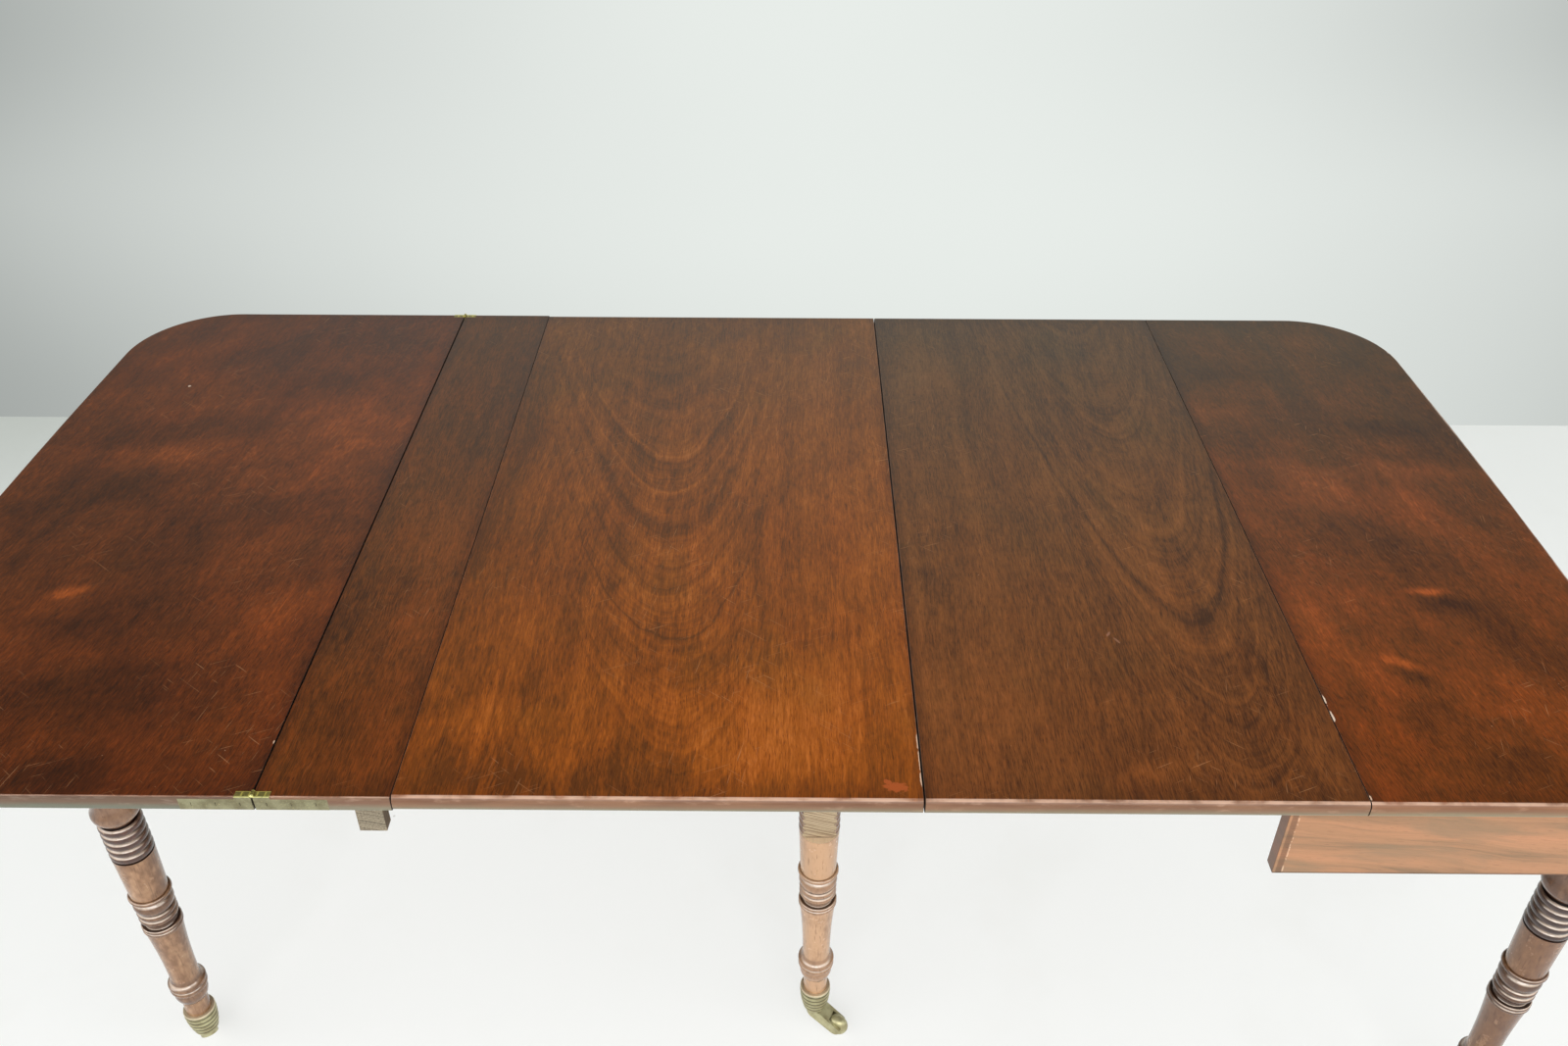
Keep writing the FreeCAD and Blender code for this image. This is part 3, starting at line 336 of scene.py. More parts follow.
class Finish(Tree):
    """Node tree of one material, with its places in the table's own frame."""

    def __init__(self, name):
        super().__init__(bpy.data.materials.new(name))
        self.place = self.node("ShaderNodeTexCoord", output="Object")
        self.x, self.y, self.z = self.parts(self.place)

    def point(self, x, y, z=0.0):
        """A vector from its parts."""
        return self.node("ShaderNodeCombineXYZ", sockets={0: x, 1: y, 2: z})

    def turned(self, degrees):
        """X and Y of the place, turned about Z."""
        turn = math.radians(degrees)
        c, s = math.cos(turn), math.sin(turn)
        return self.x * c + self.y * s, self.y * c - self.x * s

    def noise(self, vector, scale, detail, roughness=0.5, distortion=0.0):
        """Cloudy values about one half."""
        sockets = {"Vector": vector, "Scale": scale, "Detail": detail}
        sockets.update({"Roughness": roughness, "Distortion": distortion})
        return self.node("ShaderNodeTexNoise", {"noise_dimensions": "3D"}, sockets)

    def stretched(self, rates, detail, roughness=0.5):
        """Noise with its own waves per metre along X, Y and Z."""
        place = self.point(self.x * rates[0], self.y * rates[1], self.z * rates[2])
        return self.noise(place, 1.0, detail, roughness)

    def layers(self, level, scale, detail, roughness=0.55):
        """Uneven layers along one level, such as growth rings."""
        sockets = {"W": level, "Scale": scale, "Detail": detail, "Roughness": roughness}
        return self.node("ShaderNodeTexNoise", {"noise_dimensions": "1D"}, sockets)

    def ramp(self, share, stops):
        """Colour by the place of a value between the stops."""
        return self.node("ShaderNodeValToRGB", {"stops": stops}, {0: share})

    def spot(self, where, x, y, length, breadth, turn):
        """1 at a place on the top, falling to 0 at the rim of an oval; millimetres and degrees."""
        sockets = {"Vector": where, "Location": (x / 1000, y / 1000, 0)}
        sockets["Rotation"] = (0, 0, math.radians(turn))
        sockets["Scale"] = (length / 1000, breadth / 1000, 1)
        moved = self.node("ShaderNodeMapping", {"vector_type": "TEXTURE"}, sockets)
        oval = self.node("ShaderNodeTexGradient", {"gradient_type": "SPHERICAL"}, {0: moved}, output="Fac")
        return oval.rise(0.0, 1.0)

    def facing(self):
        """The three parts of the surface's direction in the piece's own frame."""
        return self.parts(self.node("ShaderNodeTexCoord", output="Normal"))

    def crevices(self, reach):
        """1 on open parts of a piece, less where the piece itself stands close by."""
        kinds = {"samples": 8, "only_local": True}
        return self.node("ShaderNodeAmbientOcclusion", kinds, {"Distance": reach}, output="AO")

    def specks(self, vector, scale, size, share):
        """Sparse round specks in a share of the cells."""
        sockets = {"Vector": vector, "Scale": scale, "Randomness": 1.0}
        cell = self.node("ShaderNodeTexVoronoi", {"feature": "F1"}, sockets)
        chance = self.parts(Wire(self, cell.socket.node.outputs["Color"]))[0]
        return cell.rise(size, size * SPECK_CORE) * chance.rise(1 - share, 1.001 - share)

    def surface(self, base, roughness, height, bump, depth, metallic=0.0, coat=0.0, fixed=None):
        """Closes the material with one shader; fixed holds what is the same all over."""
        relief = {"Strength": bump, "Distance": depth, "Height": height}
        sockets = {"Base Color": base, "Roughness": roughness, "Metallic": metallic, "Coat Weight": coat}
        sockets["Normal"] = self.node("ShaderNodeBump", None, relief)
        sockets.update(fixed or {})
        shader = self.node("ShaderNodeBsdfPrincipled", None, sockets)
        self.node("ShaderNodeOutputMaterial", None, {"Surface": shader})
        return self.owner


# Shapes


def placed(name, data):
    """New object in the scene."""
    piece = bpy.data.objects.new(name, data)
    bpy.context.scene.collection.objects.link(piece)
    return piece


def give(piece, material):
    """Puts one material on all slots of a piece."""
    if not piece.material_slots:
        piece.data.materials.append(material)
    for row in piece.material_slots:
        row.material = material


def node_body(name):
    """The body that a CAD node moves with."""
    for body, names in frame["record"]["behaviour"]["bodies"].items():
        if name in names:
            return body
    raise ValueError(f"no body holds {name}")


def node_slot(name):
    """The record's material slot of a CAD node."""
    return next(row["material_slot"] for row in frame["record"]["subparts"] if row["node"] == name)


def nodes_with(*parts):
    """The CAD nodes with one of these parts in their names."""
    found = [piece for name, piece in NODES.items() if any(part in name for part in parts)]
    if not found:
        raise ValueError(f"no CAD node has one of {parts} in its name")
    return found


def softened(name, arris, material):
    """Wooden piece with its corners softened, in place of the CAD node."""
    shape = bmesh.new()
    shape.from_mesh(NODES[name].data)
    bmesh.ops.remove_doubles(shape, verts=shape.verts, dist=WELD)
    bmesh.ops.dissolve_limit(shape, angle_limit=FLAT_JOIN, verts=shape.verts, edges=shape.edges)
    corners = [edge for edge in shape.edges if edge.is_manifold and edge.calc_face_angle(0) > SHARP_CORNER]
    if not corners:
        raise ValueError(f"{name} has no corners to soften")
    bmesh.ops.bevel(
        shape, geom=corners, offset=arris, offset_type="OFFSET", segments=2, profile=0.5, affect="EDGES",
        clamp_overlap=True,
    )
    mesh = bpy.data.meshes.new(f"{name}_wood")
    shape.to_mesh(mesh)
    shape.free()
    for face in mesh.polygons:
        face.use_smooth = True
    mesh.set_sharp_from_angle(angle=SHADE_BREAK)
    piece = placed(f"{name}_wood", mesh)
    even = piece.modifiers.new("even_shading", "WEIGHTED_NORMAL")
    even.keep_sharp = True
    give(piece, material)
    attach(piece, node_body(name))
    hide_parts(name)
    node_slot(name)


# Finish of the boards

# Waves per metre across and along the grain, shift of the seed, scale, detail, roughness, distortion
BOARD_NOISES = {
    "streaks": (60, 1.6, 0, 1.0, 4.0, 0.65),
    "fibres": (560, 60, 3, 1.0, 3.0, 0.65),
    "flecks": (250, 95, 4, 1.0, 3.0, 0.70),
    "pores": (1100, 85, 5, 1.0, 1.0, 0.50),
    "clouds": (1.3, 0.8, 7, 5.0, 5.0, 0.60, 0.5),
    "patches": (1.5, 0.8, 9, 17.0, 4.0, 0.65, 0.4),
    "ruddy": (1.8, 1.0, 13, 8.0, 3.0, 0.60),
    "olive": (1.2, 1.0, 17, 6.0, 4.0, 0.60),
}
CHOPPED_NOISES = ("fibres", "flecks")
FLAME_PACE = (3.4, 11)
FLAME_SHIFT = 11
RING_PACE = 22.0
LINE_PACE = 110.0
TONE_STOPS = (0.20, 0.46, 0.66, 0.98)
# Angle in degrees and shift of the seed for each direction of the scratches
SCRATCH_RUNS = ((24, 20), (-38, 27), (78, 33))
SCRATCH_PACE = (24, 760)
RUDDY_TINT = (1.0, 0.86, 0.72, 1.0)
OLIVE_TINT = (0.80, 0.94, 1.0, 1.0)
BOARD_PORE_TINT = paint(138, 112, 92)
SEAM_GRIME_AND_SHADE_TINT = paint(120, 104, 92)
SCRATCH_SHADE = paint(190, 136, 92)
DUST_SHADE = paint(200, 156, 120)
SEAM_PAINTED_SHADE = paint(44, 28, 18)
EDGE_STREAK_TINT = paint(150, 120, 110)
RAW_STREAK_TINT = paint(160, 130, 110)
RAW_CLOUD_TINT = paint(150, 130, 112)


def board_grain(f, figure):
    """Noises that run with the grain of one board, by their names."""
    where = f.point(f.x, f.y, figure.seed)
    drift = f.noise(where, 3.2, 3.0) - 0.5
    across, along = f.turned(figure.tilt)
    across = across + drift * 0.03
    grain = SimpleNamespace(where=where, drift=drift)
    for name, (wide, long, shift, *shape) in BOARD_NOISES.items():
        pace = long * figure.chop if name in CHOPPED_NOISES else long
        place = f.point(across * wide, along * pace, figure.seed + shift)
        setattr(grain, name, f.noise(place, *shape))
    grain.pores = grain.pores.rise(0.58, 0.72)
    return grain


def growth_tone(f, figure, grain):
    """Growth rings that arch over the heart of a board, with its single arcs."""
    side = f.x - figure.ring_axis - f.y * figure.ring_drift
    growth = f.y - side * side * figure.ring_bend + grain.drift * 0.12
    growth = growth + (grain.clouds - 0.5) * 0.06 + (grain.patches - 0.5) * 0.02
    rings = f.layers(growth + figure.seed, RING_PACE, 3.0, 0.6) - 0.5
    lines = f.layers(growth + figure.seed, LINE_PACE, 2.0, 0.6) - 0.5
    heart = abs(side).rise(0.30, 0.05)
    shown = heart * (1 - f.y.rise(0.16, 0.42) * figure.ring_fade)
    tone = (rings + lines * 0.5) * shown * figure.ring - heart * figure.heart
    for level, breadth, amount in figure.arcs:
        tone = tone + abs(growth - level).rise(breadth, 0.0) * heart * amount
    return tone


def flame_tone(f, figure, grain):
    """Flame figure that curls across a board."""
    sway = f.noise(grain.where, 2.4, 2.0) - 0.5
    first, second = f.turned(figure.flame_turn)
    first = first + sway * 0.16
    second = second + sway * 0.10
    curl = f.point(first * FLAME_PACE[0], second * FLAME_PACE[1], figure.seed + FLAME_SHIFT)
    return (f.noise(curl, 1.0, 5.0, 0.62, 0.4) - 0.5) * figure.flame


def board_tone(f, figure, grain):
    """How light the wood is: about one half, less in the dark parts of the figure."""
    tone = 0.5 + (grain.streaks - 0.5) * figure.streak
    tone = tone + ((grain.fibres - 0.5) * 1.15 + (grain.flecks - 0.5) * 0.55) * figure.grain
    tone = tone + (grain.clouds - 0.5) * figure.mottle + (grain.patches - 0.5) * 0.38
    if figure.ring_bend:
        tone = tone + growth_tone(f, figure, grain)
    if figure.flame:
        tone = tone + flame_tone(f, figure, grain)
    shove = f.point(grain.drift * 0.09, (grain.clouds - 0.5) * 0.07)
    warped = f.node("ShaderNodeVectorMath", {"operation": "ADD"}, {0: f.point(f.x, f.y), 1: shove})
    for *oval, amount in figure.spots:
        tone = tone + f.spot(warped, *oval) * amount
    return tone


def board_scratches(f, figure, grain):
    """Fine scratches in the worn parts of a board."""
    hairs = 0.0
    bend = grain.drift * 0.02
    for turn, shift in SCRATCH_RUNS:
        along, across = f.turned(turn)
        along = (along + bend) * SCRATCH_PACE[0]
        across = (across + bend) * SCRATCH_PACE[1]
        run = f.point(along, across, figure.seed + shift)
        hairs = f.noise(run, 1.0, 0.0).rise(0.79, 0.85) + hairs
    return hairs.least(1.0) * f.noise(grain.where, 6.0, 2.0).rise(0.44, 0.62)


def board_face(f, colours, figure, grain, seam, scratches):
    """Polished face of a board, with its grime, scratches, dust and chips."""
    stops = [(place, tuple(getattr(colours, key))) for place, key in zip(TONE_STOPS, SHADE_USES)]
    base = f.ramp(board_tone(f, figure, grain), stops)
    base = f.tinted(grain.ruddy.rise(0.40, 0.68) * 0.3, base, RUDDY_TINT)
    base = f.tinted(grain.olive.rise(0.50, 0.72) * 0.5, base, OLIVE_TINT)
    base = f.tinted(grain.pores * 0.6, base, BOARD_PORE_TINT)
    # Painted reflection: the far parts are painted greyer and bluer with the wall's reflection, the near
    # parts warmer where it is missing
    base = f.tinted(f.y.rise(-0.25, HALF_WIDTH), base, figure.far_tint)
    base = f.tinted(f.y.rise(0.0, -HALF_WIDTH), base, figure.near_tint)
    # Grime and painted shade: the board is darker along its seams and towards its front and back edges
    rim = HALF_WIDTH - abs(f.y)
    grime = seam.rise(0.020, 0.0) * figure.grime + rim.rise(0.05, 0.0) * 0.25
    base = f.tinted(grime * (0.5 + grain.patches), base, SEAM_GRIME_AND_SHADE_TINT)
    base = f.mix(scratches * 0.5, base, SCRATCH_SHADE)
    fine_place = f.point(f.x, f.y, figure.seed + 2)
    dust = f.specks(grain.where, 22.0, 0.024, 0.45) + f.specks(fine_place, 60.0, 0.045, 0.20)
    base = f.mix(dust.least(1.0) * 0.55, base, DUST_SHADE)
    for *oval, shade in figure.chips:
        ragged = (f.noise(grain.where, 190.0, 3.0) - 0.5) * 1.3
        chip = f.spot(f.point(f.x, f.y), *oval) + ragged
        base = f.mix(chip.rise(0.35, 0.6), base, paint(*shade))
    return base


def board_edge(f, figure, worn):
    """Rubbed edge of a board, grey along its foot."""
    wood = settings().wood
    smear = f.noise(f.point(f.x * 7, f.y * 7, f.z * 60 + figure.seed), 1.0, 3.0, 0.6)
    edge = f.mix(smear.rise(0.3, 0.7), dyed(wood.edge, EDGE_STREAK_TINT, 0.45), wood.edge[:])
    edge = f.mix(worn.rise(0.54, 0.78) * 0.35, edge, wood.arris[:])
    foot = (f.z - UNDERSIDE + (smear - 0.5) * 0.008).rise(0.014, 0.004)
    edge = f.mix(foot * 0.85, edge, wood.edge_foot[:])
    return f.tinted(1.0, edge, figure.edge_tint)


def board_finish(figure, colours):
    """Old French polish over figured mahogany; the figure says how the grain of this board runs."""
    wood = settings().wood
    f = Finish(f"{figure.node}_polish")
    grain = board_grain(f, figure)
    seam = (f.x - figure.left).least(figure.right - f.x)
    scratches = board_scratches(f, figure, grain)
    base = board_face(f, colours, figure, grain, seam, scratches)
    normal = f.facing()
    lift = abs(normal[2]) if figure.polished_below else normal[2]
    worn = f.stretched((30, 30, 90), 3.0, 0.6)
    base = f.mix(lift.rise(0.90, 0.60), base, board_edge(f, figure, worn))
    # Pale crest of the rounded edge: wear and a painted highlight; the coat adds real gloss there too
    crest_wear_and_highlight = lift.rise(0.62, 0.80) * lift.rise(0.992, 0.955) * (0.30 + worn.rise(0.30, 0.62) * 0.70)
    base = f.mix(crest_wear_and_highlight * figure.arris, base, wood.arris[:])
    # Painted shade: the sides of the seams are painted dark, as in the shadow of the gaps
    seam_side_shade = abs(normal[0]).rise(0.25, 0.5) * seam.rise(0.003, 0.0015)
    base = f.mix(seam_side_shade, base, SEAM_PAINTED_SHADE)
    roughness = 0.36 + (grain.clouds - 0.5) * 0.14 + (grain.fibres - 0.5) * 0.08
    roughness = roughness + scratches * 0.2 + seam_side_shade * 0.5
    if not figure.polished_below:
        raw = f.mix(grain.fibres.rise(0.35, 0.65), dyed(wood.raw, RAW_STREAK_TINT, 0.6), wood.raw[:])
        raw = f.tinted(grain.clouds.rise(0.6, 0.3) * 0.5, raw, RAW_CLOUD_TINT)
        below = lift.rise(-0.5, -0.8)
        base = f.mix(below, base, raw)
        roughness = roughness + below * 0.35
    height = (grain.fibres - 0.5) * 0.4 - grain.pores * 0.6 - scratches * 0.6
    fixed = {"Specular IOR Level": 0.32, "Coat Roughness": 0.2}
    return f.surface(base, roughness, height, bump=0.14, depth=0.0006, coat=crest_wear_and_highlight * 0.8, fixed=fixed)


# Finishes of the other woods

PORE_RISE = (0.62, 0.74)
PORE_TINT = paint(110, 80, 64)
APRON_LIGHT = paint(180, 126, 90)
APRON_SMOKE = paint(126, 104, 78)
APRON_DENT = paint(214, 176, 140)
APRON_JOINT_TINT = paint(150, 132, 120)
APRON_NICK = paint(226, 190, 160)
APRON_FOOT_TINT = paint(96, 84, 74)
APRON_END = paint(82, 48, 40)
LEG_STREAK = paint(92, 60, 40)
LEG_DOT = paint(214, 182, 150)
RING_POLISH_AND_SHADE_TINT = paint(116, 76, 46)
SAW_TINT = paint(150, 130, 112)
SAW_LEDGE_PAINTED_LIGHT = paint(236, 208, 172)
BATTEN_STREAK_TINT = paint(140, 122, 108)
BATTEN_CLOUD_TINT = paint(170, 150, 130)
END_GRAIN_DARK = paint(84, 74, 60)
END_GRAIN_LIGHT = paint(146, 134, 112)
RAIL_BAND_TINT = paint(160, 138, 116)
RAIL_PORE_TINT = paint(120, 94, 74)
RAIL_STAIN_TINT = paint(130, 108, 90)


def apron_finish():
    """Polished mahogany with the grain along X, smoky streaks and a worn corner joint."""
    wood = settings().wood
    f = Finish("apron_polish")
    sway = f.noise(f.point(f.x * 2, f.y * 2, f.z * 6), 1.6, 2.0) - 0.5
    along = f.x + f.y
    level = f.z + sway * 0.05 + along * 0.11
    bands = f.noise(f.point(along * 3.0, level * 42, 1.3), 1.0, 3.0, 0.6, 0.5)
    fine = f.noise(f.point(along * 14, level * 420, 2.1), 1.0, 2.0, 0.6)
    pores = f.noise(f.point(along * 70, level * 1100, 5.0), 1.0, 1.0).rise(*PORE_RISE)
    tone = 0.5 + (bands - 0.5) * 1.5 + (fine - 0.5) * 0.45
    base = f.ramp(tone, [(0.2, wood.apron_dark[:]), (0.52, wood.apron[:]), (0.9, APRON_LIGHT)])
    base = f.tinted(pores * 0.4, base, PORE_TINT)
    smoke = f.noise(f.point(along * 6, level * 22, 7.0), 1.0, 4.0, 0.65, 0.4)
    base = f.mix(smoke.rise(0.50, 0.68) * 0.6, base, APRON_SMOKE)
    dents = f.specks(f.place, 46.0, 0.05, 0.2)
    base = f.mix(dents * 0.5, base, APRON_DENT)
    joint = f.x - APRON_CORNER.x
    shade = joint.rise(0.0030, 0.0040) * joint.rise(APRON_JOINT, 0.0100)
    base = f.tinted(shade * 0.6, base, APRON_JOINT_TINT)
    nicks = f.noise(f.place, 150.0, 2.0).rise(0.44, 0.60)
    base = f.mix(abs(joint - APRON_JOINT).rise(0.0014, 0.0004) * nicks * 0.6, base, APRON_NICK)
    base = f.tinted((f.z - APRON_CORNER.z).rise(0.004, 0.001) * 0.7, base, APRON_FOOT_TINT)
    base = f.mix(abs(f.facing()[0]).rise(0.5, 0.9) * 0.55, base, APRON_END)
    height = (fine - 0.5) * 0.4 - pores * 0.5
    roughness = 0.38 + (bands - 0.5) * 0.15 + dents * 0.2
    fixed = {"Specular IOR Level": 0.45}
    return f.surface(base, roughness, height, bump=0.14, depth=0.0006, fixed=fixed)


def leg_finish(name, lightness, ring_depth, sawn_from):
    """Glossy turned mahogany, dark in its grooves; above sawn_from, where given, its flat is bare."""
    wood = settings().wood
    f = Finish(name)
    streaks = f.stretched((90, 90, 3.5), 3.0, 0.6)
    mottle = f.stretched((26, 26, 14), 3.0, 0.6)
    pores = f.stretched((420, 420, 40), 1.0).rise(*PORE_RISE)
    freckles = f.stretched((130, 130, 70), 2.0, 0.6)
    tone = lightness + (streaks - 0.5) * 0.35 + (mottle - 0.5) * 0.8 + (freckles - 0.5) * 0.4
    base = f.ramp(tone, [(0.2, LEG_STREAK), (0.5, wood.leg[:]), (0.85, wood.leg_bright[:])])
    base = f.tinted(pores * 0.4, base, PORE_TINT)
    facing = f.facing()
    # Painted shade in the grooves, from an occlusion mask, coloured as old polish and shade
    groove_shade = f.crevices(reach=0.012).rise(0.90, 0.50)
    bare = None
    if sawn_from is not None:
        flat = abs(f.y).rise(SAWN_FLAT - 0.0012, SAWN_FLAT - 0.0005)
        flat = flat * f.z.rise(sawn_from, sawn_from + 0.003)
        ledge = facing[2].rise(0.8, 0.95) * abs(f.z - sawn_from).rise(0.0015, 0.0005)
        bare = flat.most(ledge)
        groove_shade = groove_shade * (1 - bare)
    base = f.mix(groove_shade * 0.92, base, wood.leg_groove_polish_and_shade[:])
    # Ring groups painted darker: old polish, and painted shade in the group under the top
    rings = 0.0
    shaded = 0.0
    for foot, head, shade in RING_ZONES:
        zone = f.z.rise(foot - 0.002, foot + 0.004) * f.z.rise(head + 0.002, head - 0.004)
        rings = zone + rings
        shaded = zone * shade + shaded
    base = f.tinted(shaded * ring_depth * (0.7 + mottle * 0.6), base, RING_POLISH_AND_SHADE_TINT)
    # Painted highlight on the upper faces of the rings, strongest at the front and back
    ring_highlight = facing[2].rise(0.40, 0.62) * facing[2].rise(0.92, 0.70) * rings
    ring_highlight = ring_highlight * (0.10 + abs(facing[1]).rise(0.10, 0.62) * 0.62) * (0.55 + freckles * 0.9)
    base = f.mix(ring_highlight.least(1.0), base, wood.leg_ring_highlight[:])
    rubs = f.stretched((60, 60, 45), 3.0, 0.65).rise(0.60, 0.74) * (1 - rings * 0.8)
    base = f.mix(rubs * 0.28, base, wood.leg_bright[:])
    base = f.mix(f.specks(f.place, 70.0, 0.06, 0.16) * 0.5, base, LEG_DOT)
    roughness = 0.22 + (mottle - 0.5) * 0.18 + groove_shade * 0.15 + rubs * 0.14
    height = (streaks - 0.5) * 0.3 - pores * 0.5
    coat = 0.25 + rings * 0.25
    if bare is not None:
        slant = f.z + f.x * 0.30
        saw = f.noise(f.point(f.x * 14, 0.0, slant * 1100), 1.0, 2.0, 0.6)
        cuts = f.layers(slant, 560.0, 1.0)
        timber = f.mix((saw * 0.6 + cuts * 0.4).rise(0.38, 0.6), dyed(wood.sawn, SAW_TINT), wood.sawn[:])
        base = f.mix(bare, base, timber)
        # The ledge under the flat is painted pale: painted light against its own shadow
        base = f.mix(ledge * 0.8, base, SAW_LEDGE_PAINTED_LIGHT)
        roughness = roughness + bare * 0.5
        height = height + bare * (saw + cuts) * 0.8
        coat = coat * (1 - bare)
    fixed = {"Specular IOR Level": 0.4, "Coat Roughness": 0.06, "Coat IOR": 1.75}
    return f.surface(base, roughness, height, bump=0.18, depth=0.0006, coat=coat, fixed=fixed)


def batten_finish():
    """Rough bearers with the grain along Y and open end grain."""
    wood = settings().wood
    f = Finish("batten_sawn")
    fine = f.stretched((330, 9, 330), 3.0, 0.65)
    broad = f.stretched((40, 2, 40), 2.0)
    base = f.mix(fine.rise(0.32, 0.66), dyed(wood.batten, BATTEN_STREAK_TINT, 0.85), wood.batten[:])
    base = f.tinted(broad.rise(0.58, 0.36) * 0.6, base, BATTEN_CLOUD_TINT)
    end = abs(f.facing()[1]).rise(0.6, 0.9)
    ends = f.noise(f.point(f.x * 520, 0.0, f.z * 760), 1.0, 2.0, 0.6)
    rings = f.layers(f.z + f.x * 0.25 + broad * 0.004, 330.0, 2.0)
    open_grain = f.mix((ends * 0.6 + rings * 0.4).rise(0.36, 0.62), END_GRAIN_DARK, END_GRAIN_LIGHT)
    base = f.mix(end, base, open_grain)
    height = fine * (1 - end) + ends * end * 1.4
    return f.surface(base, 0.78, height, bump=0.35, depth=0.0008)


def rail_finish(name, along_x):
    """Planed unpolished wood with the grain along X or Y, darkened by age."""
    wood = settings().wood
    f = Finish(name)
    along, across = (f.x, f.y) if along_x else (f.y, f.x)
    sway = f.noise(f.place, 3.0, 2.0) - 0.5
    level = f.z + sway * 0.03
    bands = f.noise(f.point(along * 1.6, across * 40, level * 46), 1.0, 3.0, 0.6)
    fine = f.noise(f.point(along * 9, across * 300, level * 340), 1.0, 2.0, 0.6)
    pores = f.noise(f.point(along * 46, across * 800, level * 800), 1.0, 1.0).rise(*PORE_RISE)
    tone = 0.5 + (bands - 0.5) * 1.2 + (fine - 0.5) * 0.5
    base = f.mix(tone.rise(0.2, 0.8), dyed(wood.rail, RAIL_BAND_TINT), wood.rail[:])
    base = f.tinted(pores * 0.5, base, RAIL_PORE_TINT)
    stains = f.noise(f.place, 9.0, 3.0, 0.6).rise(0.60, 0.75)
    base = f.tinted(stains * 0.5, base, RAIL_STAIN_TINT)
    height = (fine - 0.5) * 0.6 - pores * 0.6
    return f.surface(base, 0.62 + (bands - 0.5) * 0.2, height, bump=0.25, depth=0.0007)


# Finishes of the metals

CUP_RIM_SHADE = paint(226, 206, 180)
BRASS_BLOT = paint(100, 94, 66)
TAB_TOP_SHADE = paint(230, 212, 100)
TAB_FRONT_SHADE = paint(252, 246, 160)
TAB_GAP_PAINTED_SHADE = paint(46, 36, 14)
RUST_SHADE = paint(92, 62, 44)
PIT_TINT = paint(110, 96, 84)


def tab_brass(f):
    """Rubbed knuckles of the card hinges, with dark pockets between them."""
    depth = abs(f.y)
    knuckle_gap_shade = f.x.fold(TAB_PITCH).rise(0.0006, 0.0012)
    knuckle_gap_shade = knuckle_gap_shade * depth.rise(TAB_BACK, TAB_BACK + 0.0008) * depth.rise(TAB_FRONT + 0.0008, TAB_FRONT)
    front = depth.rise(TAB_FRONT, TAB_FRONT + 0.0010)
    bright = f.mix(front, TAB_TOP_SHADE, TAB_FRONT_SHADE)
    return f.mix(knuckle_gap_shade * (0.3 + f.noise(f.place, 130.0, 1.0) * 0.8), bright, TAB_GAP_PAINTED_SHADE)


def brass_finish(name, lightness=1.0, rubbed_above=None):
    """Tarnished brass with blots and banded cups; above rubbed_above, where given, it is rubbed bright."""
    metal = settings().metal
    f = Finish(name)
    tarnish = [dyed(shade, [lightness] * 3) for shade in (metal.brass_dark, metal.brass)]
    cloud = f.noise(f.place, 60.0, 3.0, 0.6)
    grains = f.noise(f.place, 420.0, 2.0, 0.6)
    blots = f.noise(f.place, 140.0, 3.0, 0.65).rise(0.58, 0.72)
    base = f.mix(cloud.rise(0.30, 0.70), *tarnish)
    base = f.mix(grains.rise(0.56, 0.74) * 0.25, base, metal.brass_bright[:])
    base = f.mix(blots * 0.45, base, BRASS_BLOT)
    # Grime and painted shade in the grooves and between the cup's bands
    bands = (f.z - CUP_FOOT).fold(CUP_BAND / 2).rise(0.0022, 0.0006)
    cup = f.z.rise(CUP_FOOT - 0.0005, CUP_FOOT + 0.0005) * f.z.rise(CUP_HEAD + 0.002, CUP_HEAD)
    groove_shade = f.crevices(reach=0.006).rise(0.96, 0.66).most(bands * cup * 0.95)
    base = f.mix(groove_shade * 0.85, base, metal.grime[:])
    rim = f.z.rise(CUP_RIM - 0.0030, CUP_RIM - 0.0015) * f.z.rise(CUP_RIM + 0.002, CUP_RIM)
    base = f.mix(rim * 0.6, base, CUP_RIM_SHADE)
    roughness = 0.36 + (cloud - 0.5) * 0.2 + blots * 0.2 + groove_shade * 0.2
    metallic = 0.55 - blots * 0.25
    if rubbed_above is not None:
        rubbed = f.z.rise(rubbed_above - 0.0012, rubbed_above) * (0.75 + (cloud - 0.5) * 0.8)
        base = f.mix(rubbed, base, tab_brass(f))
        roughness = roughness - rubbed * 0.1
    height = grains * 0.5 + blots * 0.6
    return f.surface(base, roughness, height, bump=0.12, depth=0.0005, metallic=metallic)


def iron_finish():
    """Dull iron with clouds of brown rust and dark pits."""
    metal = settings().metal
    f = Finish("hinge_iron_dull")
    cloud = f.noise(f.place, 70.0, 4.0, 0.65)
    pits = f.noise(f.place, 500.0, 2.0)
    rust = cloud.rise(0.50, 0.68)
    base = f.mix(rust * 0.7, metal.iron[:], RUST_SHADE)
    base = f.tinted(pits.rise(0.6, 0.72) * 0.5, base, PIT_TINT)
    roughness = 0.5 + (cloud - 0.5) * 0.4
    metallic = 0.8 - rust * 0.4
    return f.surface(base, roughness, pits, bump=0.2, depth=0.0005, metallic=metallic)


# Figure of each board
# A spot is its place and size in millimetres, turn in degrees and amount; a chip ends with its paint
# An arc is its level and breadth on the growth rings, in metres, and its amount

NO_SEAM = 2.0
PALE_CHIP = (212, 178, 150)
BARE_CHIP = (226, 200, 176)
RED_STAIN = (168, 82, 34)


def board_figure(node, colours, **changes):
    """What every board shares, with the changes of this one."""
    low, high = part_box(node)
    shared = dict(
        node=node, colours=colours, left=low.x, right=high.x, tilt=0.0, chop=0.6, grain=0.8, grime=0.35,
        arris=0.85, polished_below=False, ring_bend=0.0, ring_axis=0.0, ring_drift=0.0, ring=0.0,
        ring_fade=0.0, heart=0.0, arcs=(), flame=0.0, edge_tint=(0.90, 0.91, 0.89, 1.0), chips=(),
    )
    return SimpleNamespace(**{**shared, **changes})


